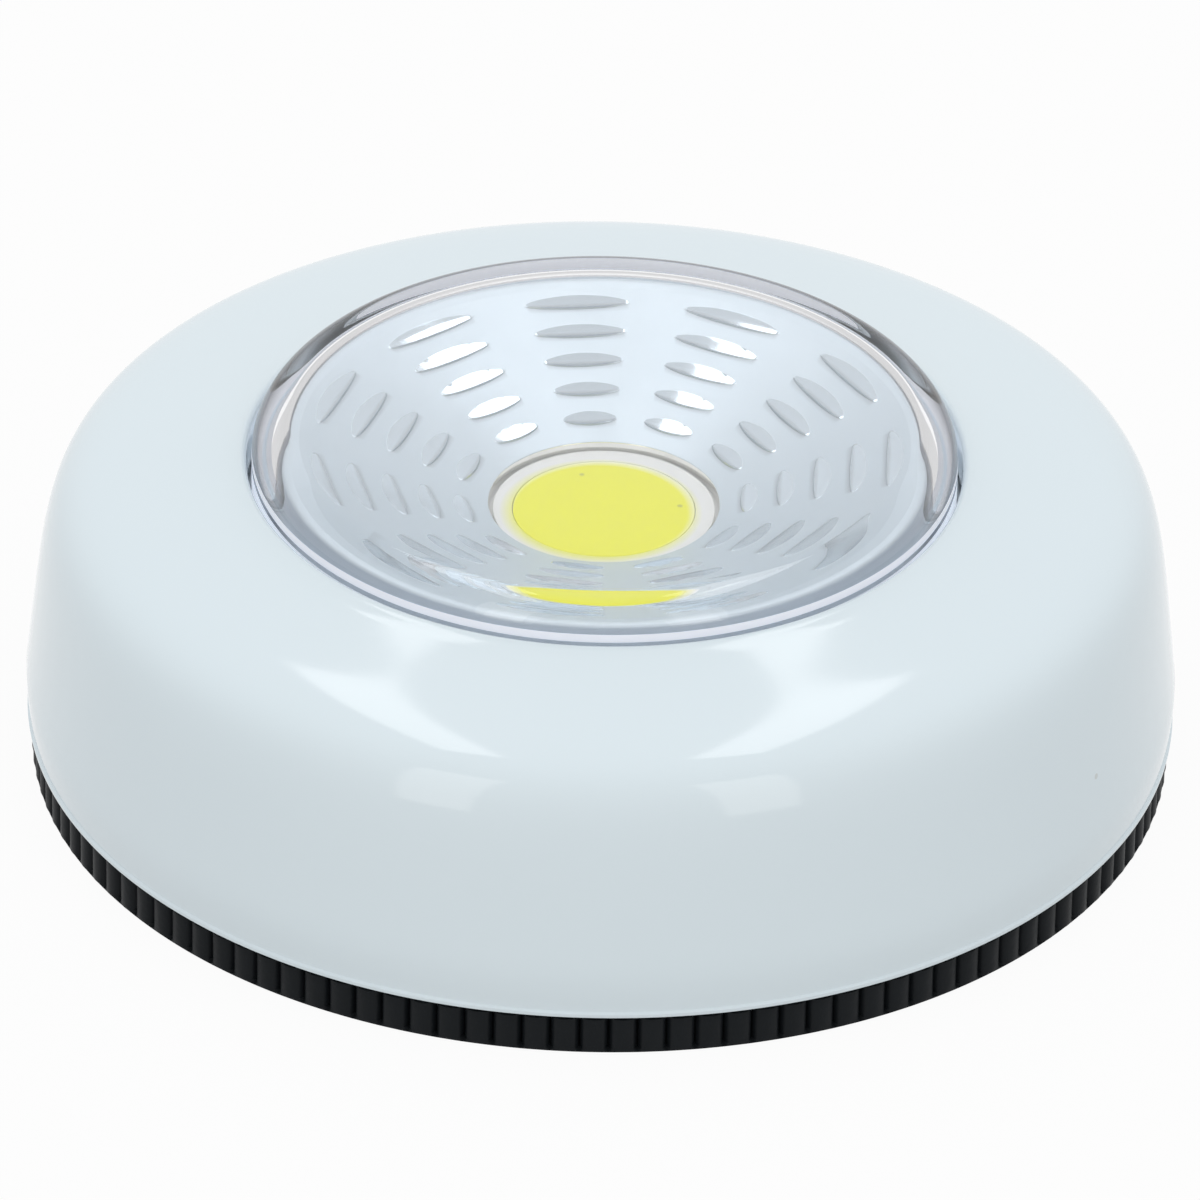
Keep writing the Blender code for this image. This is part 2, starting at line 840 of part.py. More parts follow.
def make_contacts(material, body):
    outer = cell_offset + contact_reach
    lean = math.pi / bay_count
    bend = plate_station / math.tan(lean)
    plate_height = (0, 0, cell_axis)
    link_path = [plate_point(outer, 1), plate_point(bend, 1), plate_point(outer, -1)]
    link = outline_mesh("link_plate", strip_outline(link_path, contact_thickness), contact_height)
    for index in range(bay_count - 1):
        add_part(
            f"link_plate_{index + 1}",
            link,
            material,
            body,
            location=plate_height,
            rotation=(0, 0, corner_angle(index)),
        )
    tab_reach = bend + terminal_spacing / 2 / math.sin(lean)
    for name, side in (("positive_terminal", 1), ("negative_terminal", -1)):
        elbow = plate_point(tab_reach, side)
        path = [plate_point(outer, side), elbow, elbow - Vector((terminal_tab_length, 0))]
        mesh = outline_mesh(name, strip_outline(path, contact_thickness), contact_height)
        add_part(name, mesh, material, body, location=plate_height, rotation=(0, 0, lead_corner()))


def make_contact_springs(material, body):
    wire = contact_spring_wire / 2
    points = coil_points(
        contact_spring_base_radius,
        contact_spring_tip_radius,
        wire,
        contact_spring_height - wire,
        contact_spring_turns,
    )
    mesh = curve_mesh("contact_spring", wire_curve("contact_spring", points, wire, 1))
    station = -plate_station + contact_thickness / 2 + contact_gap
    for index in range(bay_count):
        angle = bay_angle(index)
        foot = Matrix.Rotation(angle, 3, "Z") @ Vector((cell_offset, station, cell_axis))
        add_part(
            f"contact_spring_{index + 1}",
            mesh,
            material,
            body,
            location=foot,
            rotation=(-math.pi / 2, 0, angle),
        )


# Switch, board and leads


def board_screw_spots():
    return [Vector((side * board_screw_circle, 0, 0)) for side in (-1, 1)]


def make_board(material, body):
    board = add_part(
        "switch_board",
        cylinder_mesh("switch_board", board_radius, board_bottom, board_top, board_steps),
        material,
        body,
    )
    hole = screw_hole_mesh("board_screw_hole", board_bottom, board_top)
    for index, spot in enumerate(board_screw_spots()):
        cut(board, add_cutter(f"board_screw_hole_{index}", hole, location=spot))


def make_switch(material, body, button):
    half = switch_width / 2
    mesh = box_mesh("switch_body", (-half, -half, switch_bottom), (half, half, switch_top))
    switch = add_part("switch_body", mesh, material, body)
    bevel = switch.modifiers.new("edges", "BEVEL")
    bevel.width = switch_chamfer
    bevel.segments = 1
    bore = cylinder_mesh(
        "plunger_bore", plunger_radius + plunger_play, switch_bottom + switch_floor, switch_top + overrun
    )
    cut(switch, add_cutter("plunger_bore", bore))
    profile = [
        (0, plunger_top),
        (plunger_radius - plunger_play, plunger_top),
        (plunger_radius, plunger_top - plunger_play),
        (plunger_radius, plunger_bottom),
        (0, plunger_bottom),
    ]
    turned_part("switch_plunger", profile, small_steps // 2, materials["mask"], button, closed=False)


def make_resistor(material, body):
    """A dog-bone body lying over the board on two bent legs."""
    half = resistor_length / 2
    knob = half * resistor_knob_share
    neck = resistor_radius - resistor_waist
    tip = resistor_wire * 2
    profile = [
        (0, half),
        (resistor_radius - tip, half),
        (resistor_radius, half - tip),
        (resistor_radius, knob),
        (neck, knob - tip),
        (neck, tip - knob),
        (resistor_radius, -knob),
        (resistor_radius, tip - half),
        (resistor_radius - tip, -half),
        (0, -half),
    ]
    centre = Vector((0, resistor_offset, board_top + bond_gap + resistor_radius))
    resistor = turned_part(
        "resistor",
        profile,
        small_steps // 2,
        material,
        body,
        closed=False,
        location=centre,
        rotation=(0, math.pi / 2, 0),
    )
    foot = board_top + bond_gap
    reach = resistor_pitch / 2
    bend = resistor_radius / 2
    legs = [
        Vector((-reach, resistor_offset, foot)),
        Vector((-reach, resistor_offset, centre.z - bend)),
        Vector((bend - reach, resistor_offset, centre.z)),
        Vector((reach - bend, resistor_offset, centre.z)),
        Vector((reach, resistor_offset, centre.z - bend)),
        Vector((reach, resistor_offset, foot)),
    ]
    wire = curve_mesh("resistor_legs", wire_curve("resistor_legs", legs, resistor_wire, 1))
    join(resistor, add_cutter("resistor_legs", wire))


def make_battery_leads(body):
    """Two leads from the terminal tabs, through the slot in the tray, to the switch board."""
    tab_tip = plate_point(plate_station / math.tan(math.pi / bay_count), 1).x - terminal_tab_length
    lie = board_top + bond_gap + lead_radius
    frame = Matrix.Rotation(lead_corner(), 3, "Z")
    for name, side, material in (("battery_lead_red", 1, "red"), ("battery_lead_black", -1, "dark")):
        off = -side * terminal_spacing / 2
        stations = [
            (tab_tip - lead_radius, cell_axis),
            (tab_tip - 3 * lead_radius, cell_axis),
            ((tab_tip + board_radius) / 2, (cell_axis + lie) / 2),
            (board_radius + 2 * lead_radius, lie),
            (board_radius, lie),
            (board_radius - 4 * lead_radius, lie),
        ]
        points = [frame @ Vector((along, off, height)) for along, height in stations]
        add_wire(name, points, lead_radius, materials[material], body)


def make_led_leads(head):
    """Two slack leads that stand between the switch board and the light source."""
    low = board_top + bond_gap
    high = led_board_bottom - bond_gap
    for name, side, material in (("led_lead_red", 1, "red"), ("led_lead_black", -1, "dark")):
        spot = Vector((side * led_lead_spacing / 2, -led_lead_offset, 0))
        points = []
        for step in range(arc_steps * 2 + 1):
            share = step / (arc_steps * 2)
            bow = led_lead_slack * math.sin(math.pi * share) ** 2
            points.append(spot + Vector((side * bow, 0, low + (high - low) * share)))
        add_wire(name, points, lead_radius, materials[material], head)


# Screws


def screw_mesh(name, length):
    """A pan-head screw pointing up, with the underside of its head at its origin."""
    mesh_profile = [
        (0, length),
        (screw_radius / 3, length),
        (screw_radius, length - screw_radius),
        (screw_radius, 0),
        (screw_head_radius, 0),
        (screw_head_radius, -screw_head_height / 2),
        (screw_head_radius * screw_crown_share, -screw_head_height),
        (0, -screw_head_height),
    ]
    return profile_mesh(name, mesh_profile, closed=False)


def add_screws(name, length, spots, height, material, parent, upwards=True):
    mesh = screw_mesh(name, length)
    for index, spot in enumerate(spots):
        item = add_part(
            f"{name}_{index + 1}",
            mesh,
            material,
            parent,
            location=(spot.x, spot.y, height),
            rotation=(0, 0 if upwards else math.pi, 0),
        )
        turn(item, screw_steps)


# Moving head


def facet_lift(radius, angle):
    """Height of the raised facets of the dish above its cone."""
    rows_start = reflector_radius - facet_margin - facet_rows * facet_row_pitch
    row = (radius - rows_start) / facet_row_pitch
    if not 0 < row < facet_rows:
        return 0.0
    column = ((angle - facet_turn) * facet_columns / (2 * math.pi) + 0.5) % 1
    across = min(column, 1 - column) / facet_half_share
    side = min(max(across - facet_crest_share, 0), 1)
    return facet_height * side * math.sin(math.pi * (row % 1)) ** 2


def dish_profile():
    """Rings of the dish from its rim inwards: two to each row of facets, one on its ridge."""
    rows_start = reflector_radius - facet_margin - facet_rows * facet_row_pitch
    radii = [reflector_radius - reflector_skirt / 3]
    for half_row in range(2 * facet_rows, -1, -1):
        radii.append(rows_start + half_row * facet_row_pitch / 2)
    radii.append(reflector_hole_radius)
    return [(radius, dish_height(radius)) for radius in radii]


def dish_height(radius):
    """Height of the dish's plain cone, without its facets."""
    return dish_bottom + (radius - reflector_hole_radius) * reflector_rise / reflector_width


def spring_cup_bottom():
    return dish_height(return_spring_circle) - reflector_wall - spring_cup_drop


def reflector_profile():
    """Section of the reflector: foot flange, skirt, dish, and the lip round the light source."""
    slope = reflector_rise / reflector_width
    drop = reflector_wall / math.cos(math.atan(slope))
    skirt_inner = reflector_radius - reflector_skirt
    under_top = dish_height(skirt_inner) - drop
    flat_end = reflector_hole_radius + (drop - reflector_lip) / slope
    outer = [
        (reflector_radius, dish_top - reflector_skirt / 2),
        (reflector_radius, flange_top),
        (flange_radius, flange_top),
        (flange_radius, flange_bottom),
        (skirt_inner, flange_bottom),
        (skirt_inner, under_top),
        (flat_end, reflector_bottom),
        (reflector_hole_radius, reflector_bottom),
    ]
    return outer + dish_profile()[::-1]


def make_reflector(material, head):
    """The dish is turned, and the points of its upper side are then lifted into facets."""
    steps = facet_columns * facet_steps
    blank = turned_cutter("reflector_blank", reflector_profile(), steps)
    mesh = evaluated_mesh(blank)
    bpy.data.objects.remove(blank, do_unlink=True)
    mesh.name = "reflector"
    for vert in mesh.vertices:
        radius = math.hypot(vert.co.x, vert.co.y)
        if abs(vert.co.z - dish_height(radius)) < bond_gap / 2:
            vert.co.z += facet_lift(radius, math.atan2(vert.co.y, vert.co.x))
    reflector = add_part("reflector", mesh, material, head)
    cup_bottom = spring_cup_bottom()
    cup_top = dish_height(return_spring_circle - spring_cup_radius) - reflector_wall / 3
    cup = cylinder_mesh("spring_cup", spring_cup_radius, cup_bottom, cup_top, small_steps // 2)
    stake_high = dish_height(stake_circle - stake_radius) - reflector_wall / 3
    cap_top = led_board_bottom - bond_gap
    stake_low = cap_top - stake_head_thickness
    shank = cylinder_mesh("stake", stake_radius, stake_low, stake_high, screw_steps)
    cap = cylinder_mesh("stake_head", stake_radius, stake_low, cap_top, screw_steps, stake_head_radius)
    hole = screw_hole_mesh("flange_hole", flange_bottom, flange_top)
    for index in range(bay_count):
        cup_spot = polar(return_spring_circle, corner_angle(index))
        join(reflector, add_cutter(f"spring_cup_{index}", cup, location=cup_spot))
        stake_spot = polar(stake_circle, bay_angle(index))
        join(reflector, add_cutter(f"stake_{index}", shank, location=stake_spot))
        join(reflector, add_cutter(f"stake_head_{index}", cap, location=stake_spot))
        screw_spot = polar(head_screw_circle, bay_angle(index))
        cut(reflector, add_cutter(f"flange_hole_{index}", hole, location=screw_spot))


def make_lens(material, head):
    shoulder = (lens_radius - lens_shoulder, lens_top - lens_shoulder)
    inner_round = lens_wall / 2
    profile = [(0, lens_top)]
    profile += arc(shoulder, lens_shoulder, math.pi / 2, 0, arc_steps + 1)
    profile += [
        (lens_radius, lens_flange_top),
        (flange_radius, lens_flange_top),
        (flange_radius, lens_flange_bottom),
        (lens_inner_radius, lens_flange_bottom),
        (lens_inner_radius, lens_underside - inner_round),
        (lens_inner_radius - inner_round, lens_underside),
        (0, lens_underside),
    ]
    lens = turned_part("lens", profile, body_steps, material, head, closed=False)
    bore = screw_hole_mesh("lens_bore", lens_flange_bottom, lens_flange_top)
    for index in range(bay_count):
        spot = polar(head_screw_circle, bay_angle(index))
        cut(lens, add_cutter(f"lens_bore_{index}", bore, location=spot))


def make_light_source(head):
    board = add_part(
        "led_board",
        cylinder_mesh("led_board", led_board_radius, led_board_bottom, led_board_top, board_steps),
        materials["mask"],
        head,
    )
    hole = cylinder_mesh(
        "stake_hole", stake_hole_radius, led_board_bottom - overrun, led_board_top + overrun, 2 * screw_steps
    )
    for index in range(bay_count):
        spot = polar(stake_circle, bay_angle(index))
        cut(board, add_cutter(f"stake_hole_{index}", hole, location=spot))
    dam_top = light_bottom + dam_height
    dam = [
        (dam_outer_radius, dam_top),
        (dam_outer_radius, light_bottom),
        (dam_inner_radius, light_bottom),
        (dam_inner_radius, dam_top),
    ]
    turned_part("led_dam", dam, board_steps, materials["mask"], head)
    gel = cylinder_mesh(
        "led_phosphor", phosphor_radius, light_bottom, light_bottom + phosphor_thickness, board_steps
    )
    add_part("led_phosphor", gel, materials["phosphor"], head)


def make_return_springs(material, body):
    wire = return_spring_wire / 2
    low = roof_top + bond_gap + wire
    high = spring_cup_bottom() - bond_gap - wire
    points = coil_points(return_spring_radius, return_spring_radius, low, high, return_spring_turns)
    mesh = curve_mesh("return_spring", wire_curve("return_spring", points, wire, 1))
    for index in range(bay_count):
        spot = polar(return_spring_circle, corner_angle(index))
        add_part(f"return_spring_{index + 1}", mesh, material, body, location=spot)


def make_light():
    body = hang_axis("twist_axis", 0)
    head = hang_axis("press_axis", led_board_bottom)
    button = hang_axis("plunger_axis", plunger_bottom)
    make_base(materials["black"])
    make_pad(materials["foam"])
    make_housing(materials["white"], body)
    make_tray(materials["tray"], body)
    make_cells(materials["sleeve"], body)
    make_contacts(materials["nickel"], body)
    make_contact_springs(materials["nickel"], body)
    make_board(materials["board"], body)
    make_switch(materials["switch"], body, button)
    make_resistor(materials["resistor"], body)
    make_battery_leads(body)
    make_lens(materials["clear"], head)
    make_reflector(materials["mirror"], head)
    make_light_source(head)
    make_return_springs(materials["steel"], body)
    make_led_leads(body)
    steel = materials["steel"]
    corner_spots = [polar(boss_circle, corner_angle(index)) for index in range(bay_count)]
    bay_spots = [polar(head_screw_circle, bay_angle(index)) for index in range(bay_count)]
    add_screws("tray_screw", tray_screw_length, corner_spots, roof_bottom - contact_gap, steel, body)
    add_screws("head_screw", head_screw_length, bay_spots, flange_bottom - contact_gap, steel, head)
    board_height = board_top + contact_gap
    board_spots = board_screw_spots()
    add_screws("board_screw", board_screw_length, board_spots, board_height, steel, body, upwards=False)
    for item in part_collection.objects:
        if item.type == "MESH":
            smooth(item)


clear_scene()
part_collection = new_collection("puck_light")
cutter_collection = new_collection("puck_light_cutters")
materials = make_finishes()
make_light()
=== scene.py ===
import math
from functools import partial

import bmesh
import bpy
from mathutils import Matrix, Vector


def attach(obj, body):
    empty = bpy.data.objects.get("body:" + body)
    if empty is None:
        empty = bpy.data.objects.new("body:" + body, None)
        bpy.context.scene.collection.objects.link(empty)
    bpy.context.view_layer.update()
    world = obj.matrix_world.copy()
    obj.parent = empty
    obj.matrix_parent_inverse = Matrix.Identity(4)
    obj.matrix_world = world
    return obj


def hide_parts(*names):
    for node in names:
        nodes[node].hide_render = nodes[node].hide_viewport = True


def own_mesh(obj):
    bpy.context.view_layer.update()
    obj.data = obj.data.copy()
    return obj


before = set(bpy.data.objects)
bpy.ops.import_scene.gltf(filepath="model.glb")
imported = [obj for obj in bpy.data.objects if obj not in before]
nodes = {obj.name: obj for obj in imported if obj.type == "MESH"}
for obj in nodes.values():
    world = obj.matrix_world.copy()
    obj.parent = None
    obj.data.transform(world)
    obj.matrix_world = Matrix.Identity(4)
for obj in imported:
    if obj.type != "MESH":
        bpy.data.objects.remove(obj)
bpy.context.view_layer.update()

# Sizes shared with the solids, in metres
body_radius = 0.03752
shell_inner_radius = 0.03562
shell_bottom = 0.0029
side_top = 0.0061
opening_radius = 0.0232
opening_height = 0.02175
collar_wall = 0.0014
collar_bottom = 0.01875
boss_circle = 0.03082
boss_radius = 0.0024
boss_bore_radius = 0.0012
boss_bottom = 0.014
rib_crest_radius = 0.03722
rib_groove_radius = 0.03662
rib_count = 126
base_bottom = 0.0003
foot_bottom = 0.00012
floor_top = 0.002
base_rim_top = 0.0026
spigot_outer_radius = 0.03522
spigot_inner_radius = 0.03442
spigot_top = 0.0039
base_dish_radius = 0.03402
hook_inner_radius = 0.03082
hook_outer_radius = 0.03232
hook_lip_radius = 0.03382
hook_lip_bottom = 0.0059
hook_top = 0.0071
hook_width = 0.008
ledge_inner_radius = 0.03262
ledge_bottom = 0.0042
ledge_top = 0.0056
ledge_width = 0.0066
pad_inner_radius = 0.0145
pad_outer_radius = 0.027
pad_top = 0.001
recess_ceiling = 0.0013
mount_hole_radius = 0.0019
mount_head_radius = 0.0035
mount_hole_spacing = 0.018
lens_radius = 0.02285
lens_inner_radius = 0.0213
lens_top = 0.0243
lens_underside = 0.0227
lens_shoulder = 0.0024
flange_radius = 0.02615
lens_flange_top = 0.01845
lens_flange_bottom = 0.01745
reflector_radius = 0.0209
reflector_skirt = 0.0009
reflector_hole_radius = 0.0075
reflector_flange_top = 0.0173
reflector_flange_bottom = 0.0163
dish_bottom = 0.0172
dish_slope = 0.36
dish_lip_height = 0.0218
dish_lip_radius = 0.0203
dish_edge_radius = 0.0198
facet_columns = 11
facet_rows = 5
facet_turn = math.radians(96.3)
facet_first_radius = 0.0094
facet_row_pitch = 0.00234
board_top = 0.0164
dam_outer_radius = 0.0072
phosphor_radius = 0.0059

# Sizes of small forms that only the scene draws, in metres
glue_gap = 0.0001
pad_clearance = 0.0003
rib_wall_heights = (0.0019, 0.0013, 0.0008)
foot_ring_width = 0.002
hook_root = 0.0004
hook_chamfer = 0.0006
housing_wall = 0.0019
housing_lip = 0.00045
boss_top = 0.0185
boss_bore_end = 0.0019
lens_flat_radius = 0.012
lens_fillet = 0.0019
lens_texture_bands = ((0.0190, 0.02124), (0.02160, 0.02205))
dish_foot_underside = (0.0088, 0.01668)
cup_circle = 0.0179
cup_radius = 0.0025
cup_low = 0.01875
cup_high = 0.01965
stake_circle = 0.0097
gel_offset = (-0.0002, -0.0004)

# The two points that pull the dome's curve: share of its width in from the side, share of its rise
dome_crown_pull = (0.04, 0.83)
dome_side_pull = (0.13, 1.02)

# Fineness of the turned shapes, as steps all round, or as steps for each rib or column of facets
steps_per_rib = 12
steps_per_column = 36
facet_half_steps = 12
housing_steps = 288
lens_steps = 256
pad_steps = 192
light_steps = 160

clear_plastic_ior = 1.49
white = (1, 1, 1, 1)


# Turned and carved shapes


def polar(radius, angle, height=0.0):
    return Vector((radius * math.cos(angle), radius * math.sin(angle), height))


def soften(corners, steps=5):
    """A section whose corners (radius, height, rounding) are drawn as small arcs."""
    section = []
    for index, (x, z, rounding) in enumerate(corners):
        here = Vector((x, z))
        if rounding == 0 or index in (0, len(corners) - 1):
            section.append(here)
            continue
        before = Vector(corners[index - 1][:2]) - here
        after = Vector(corners[index + 1][:2]) - here
        opening = before.angle(after)
        reach = rounding / math.tan(opening / 2)
        reach = min(reach, 0.48 * before.length, 0.48 * after.length)
        start = here + before.normalized() * reach
        end = here + after.normalized() * reach
        for step in range(steps + 1):
            share = step / steps
            section.append(start.lerp(here, share).lerp(here.lerp(end, share), share))
    return section


def arc(x, z, radius, first_angle, last_angle, steps):
    """Points of a section on an arc round (x, z)."""
    points = []
    for step in range(steps + 1):
        angle = first_angle + (last_angle - first_angle) * step / steps
        points.append(Vector((x + radius * math.cos(angle), z + radius * math.sin(angle))))
    return points


def turned_mesh(name, section, steps, closed=False):
    """Turns a section round Z. An open section starts and ends on the axis."""
    mesh = bpy.data.meshes.new(name)
    shape = bmesh.new()
    rings = []
    for x, z in section:
        if x < 1e-7:
            rings.append([shape.verts.new((0, 0, z))])
        else:
            rings.append([shape.verts.new(polar(x, 2 * math.pi * step / steps, z)) for step in range(steps)])
    pairs = list(zip(rings, rings[1:]))
    if closed:
        pairs.append((rings[-1], rings[0]))
    for upper, lower in pairs:
        for step in range(steps):
            beside = (step + 1) % steps
            if len(upper) == 1:
                shape.faces.new((upper[0], lower[step], lower[beside]))
            elif len(lower) == 1:
                shape.faces.new((upper[step], lower[0], upper[beside]))
            else:
                shape.faces.new((upper[step], lower[step], lower[beside], upper[beside]))
    bmesh.ops.recalc_face_normals(shape, faces=shape.faces)
    shape.to_mesh(mesh)
    shape.free()
    return mesh


def block_mesh(name, low, high, rounding=0.0):
    mesh = bpy.data.meshes.new(name)
    shape = bmesh.new()
    low, high = Vector(low), Vector(high)
    middle = Matrix.Translation((low + high) / 2)
    bmesh.ops.create_cube(shape, size=1, matrix=middle @ Matrix.Diagonal((*(high - low), 1)))
    if rounding:
        bmesh.ops.bevel(shape, geom=shape.edges, offset=rounding, segments=2, profile=0.5, affect="EDGES")
    shape.to_mesh(mesh)
    shape.free()
    return mesh


def outline_mesh(name, outline, low, high):
    """A flat outline in XZ, as thick as from low to high along Y."""
    mesh = bpy.data.meshes.new(name)
    shape = bmesh.new()
    face = shape.faces.new([shape.verts.new((x, low, z)) for x, z in outline])
    raised = bmesh.ops.extrude_face_region(shape, geom=[face])["geom"]
    for item in raised:
        if isinstance(item, bmesh.types.BMVert):
            item.co.y = high
    bmesh.ops.recalc_face_normals(shape, faces=shape.faces)
    shape.to_mesh(mesh)
    shape.free()
    return mesh


def moved(mesh, place):
    copy = mesh.copy()
    copy.transform(place)
    return copy


def bay_angle(bay):
    """Most inner parts come three times, a third of a turn apart."""
    return 2 * math.pi * bay / 3


def gathered(name, meshes):
    """Several closed shapes as one mesh."""
    shape = bmesh.new()
    for mesh in meshes:
        shape.from_mesh(mesh)
    result = bpy.data.meshes.new(name)
    shape.to_mesh(result)
    shape.free()
    return result


def new_object(name, data, material=None):
    """A mesh, lamp or camera as an object of the scene."""
    made = bpy.data.objects.new(name, data)
    bpy.context.scene.collection.objects.link(made)
    if material is not None:
        data.materials.clear()
        data.materials.append(material)
    return made


def settled(item):
    """The object's mesh with its modifiers worked in, and the object itself removed."""
    bpy.context.view_layer.update()
    graph = bpy.context.evaluated_depsgraph_get()
    mesh = bpy.data.meshes.new_from_object(item.evaluated_get(graph))
    mesh.name = item.name
    bpy.data.objects.remove(item, do_unlink=True)
    return mesh


def bored(name, mesh, cutters):
    """The mesh with each cutter's shape taken out of it."""
    blank = new_object(name, mesh)
    helpers = []
    for index, cutter in enumerate(cutters):
        helper = new_object(f"{name}_cutter_{index}", cutter)
        modifier = blank.modifiers.new(helper.name, "BOOLEAN")
        modifier.solver = "EXACT"
        modifier.operation = "DIFFERENCE"
        modifier.object = helper
        helpers.append(helper)
    mesh = settled(blank)
    for helper in helpers:
        bpy.data.objects.remove(helper, do_unlink=True)
    return mesh


def add_piece(name, mesh, material, body, stands_for, sharp_angle=40):
    mesh.shade_smooth()
    mesh.set_sharp_from_angle(angle=math.radians(sharp_angle))
    mesh.materials.clear()
    mesh.materials.append(material)
    piece = new_object(name, mesh)
    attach(piece, body)
    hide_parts(*stands_for)
    return piece


# Node trees: small helpers


def add_node(tree, kind, inputs=None, **settings):
    made = tree.nodes.new(kind)
    for name, value in settings.items():
        setattr(made, name, value)
    for key, value in (inputs or {}).items():
        if isinstance(value, bpy.types.NodeSocket):
            tree.links.new(value, made.inputs[key])
        else:
            made.inputs[key].default_value = value
    return made


def calc(tree, operation, *values):
    return add_node(tree, "ShaderNodeMath", dict(enumerate(values)), operation=operation).outputs[0]


def mixed_value(tree, share, first, second):
    return add_node(tree, "ShaderNodeMix", {0: share, 2: first, 3: second}).outputs[0]


def mixed_colour(tree, share, first, second):
    return add_node(tree, "ShaderNodeMix", {0: share, 6: first, 7: second}, data_type="RGBA").outputs[2]


def ramp(tree, value, start, end, first=0.0, last=1.0):
    """Goes from the first result to the last while the value goes from start to end."""
    return add_node(tree, "ShaderNodeMapRange", {0: value, 1: start, 2: end, 3: first, 4: last}).outputs[0]


def add_sockets(tree, ins, outs):
    for name, kind, value in ins:
        socket = tree.interface.new_socket(name, in_out="INPUT", socket_type=kind)
        if value is not None:
            socket.default_value = value
    for name, kind in outs:
        tree.interface.new_socket(name, in_out="OUTPUT", socket_type=kind)
    return tree.nodes.new("NodeGroupInput").outputs, tree.nodes.new("NodeGroupOutput").inputs


def geometry_tree(name, sizes):
    """A new geometry tree with an input for each named size, and with its inputs and outputs."""
    tree = bpy.data.node_groups.new(name, "GeometryNodeTree")
    ins = [("Geometry", "NodeSocketGeometry", None)]
    for size, value in sizes.items():
        ins.append((size, "NodeSocketInt" if isinstance(value, int) else "NodeSocketFloat", value))
    ins.append(("Material", "NodeSocketMaterial", None))
    return tree, *add_sockets(tree, ins, [("Geometry", "NodeSocketGeometry")])


def turned_place(tree):
    """A point's radius and height, its way out from the axis, and its angle round it."""
    place = add_node(tree, "GeometryNodeInputPosition").outputs[0]
    split = add_node(tree, "ShaderNodeSeparateXYZ", {0: place}).outputs
    flat = add_node(tree, "ShaderNodeCombineXYZ", {0: split[0], 1: split[1]}).outputs[0]
    radius = add_node(tree, "ShaderNodeVectorMath", {0: flat}, operation="LENGTH").outputs["Value"]
    outward = add_node(tree, "ShaderNodeVectorMath", {0: flat}, operation="NORMALIZE").outputs[0]
    return radius, split[2], outward, calc(tree, "ARCTAN2", split[1], split[0])


def scaled(tree, direction, length):
    inputs = {0: direction, "Scale": length}
    return add_node(tree, "ShaderNodeVectorMath", inputs, operation="SCALE").outputs[0]


def marked(tree, geometry, name, value):
    """The geometry with a value stored on its points, for the material to read."""
    inputs = {"Geometry": geometry, "Name": name, "Value": value}
    return add_node(tree, "GeometryNodeStoreNamedAttribute", inputs).outputs[0]


def end_tree(tree, ins, outs, geometry, offset):
    """Moves the points, and ends the tree with real geometry in its material."""
    drawn = add_node(tree, "GeometryNodeSetPosition", {"Geometry": geometry, "Offset": offset}).outputs[0]
    real = add_node(tree, "GeometryNodeRealizeInstances", {0: drawn}).outputs[0]
    painted = add_node(tree, "GeometryNodeSetMaterial", {"Geometry": real, "Material": ins["Material"]})
    tree.links.new(painted.outputs[0], outs["Geometry"])


def shaped_by(name, mesh, tree, material, values):
    """The mesh after a geometry tree has worked on it with these named sizes."""
    blank = new_object(name, mesh)
    modifier = blank.modifiers.new(tree.name, "NODES")
    modifier.node_group = tree
    for item in tree.interface.items_tree:
        if item.in_out == "INPUT" and item.name in values:
            modifier[item.identifier] = values[item.name]
        if item.in_out == "INPUT" and item.socket_type == "NodeSocketMaterial":
            modifier[item.identifier] = material
    return settled(blank)


# Ribs of the base


rib_sizes = {
    "Rib count": rib_count,
    "Groove depth": rib_crest_radius - rib_groove_radius - 0.0002,
    "Groove share": 0.19,
    "Crest crown": 0.00032,
    "Rim starts at radius": 0.0362,
    "Ribs start at height": 0.00015,
    "Ribs run out over": 0.0001,
}


def rib_tree():
    """Draws the rim of a plain disc in at each groove, so that ribs are left between the grooves."""
    groove_fullness = 0.8
    tree, ins, outs = geometry_tree("rim_ribs", rib_sizes)
    do = partial(calc, tree)
    radius, height, outward, angle = turned_place(tree)
    turns = do("DIVIDE", angle, 2 * math.pi)
    station = do("FRACT", do("MULTIPLY", turns, ins["Rib count"]))
    off_crest = do("MULTIPLY", do("ABSOLUTE", do("SUBTRACT", station, 0.5)), 2.0)
    crown = do("MULTIPLY", do("POWER", off_crest, 2.0), ins["Crest crown"])
    edge = do("SUBTRACT", 1.0, ins["Groove share"])
    past_edge = do("DIVIDE", do("SUBTRACT", off_crest, edge), ins["Groove share"])
    into = do("POWER", do("MAXIMUM", past_edge, 0.0), groove_fullness)
    groove = do("MULTIPLY", into, ins["Groove depth"])
    rise = do("SUBTRACT", height, ins["Ribs start at height"])
    run_out = do("DIVIDE", rise, ins["Ribs run out over"])
    above = add_node(tree, "ShaderNodeClamp", {0: run_out}).outputs[0]
    on_rim = do("GREATER_THAN", radius, ins["Rim starts at radius"])
    depth = do("MULTIPLY", do("MULTIPLY", do("ADD", crown, groove), above), on_rim)
    end_tree(tree, ins, outs, ins["Geometry"], scaled(tree, outward, do("MULTIPLY", depth, -1.0)))
    return tree


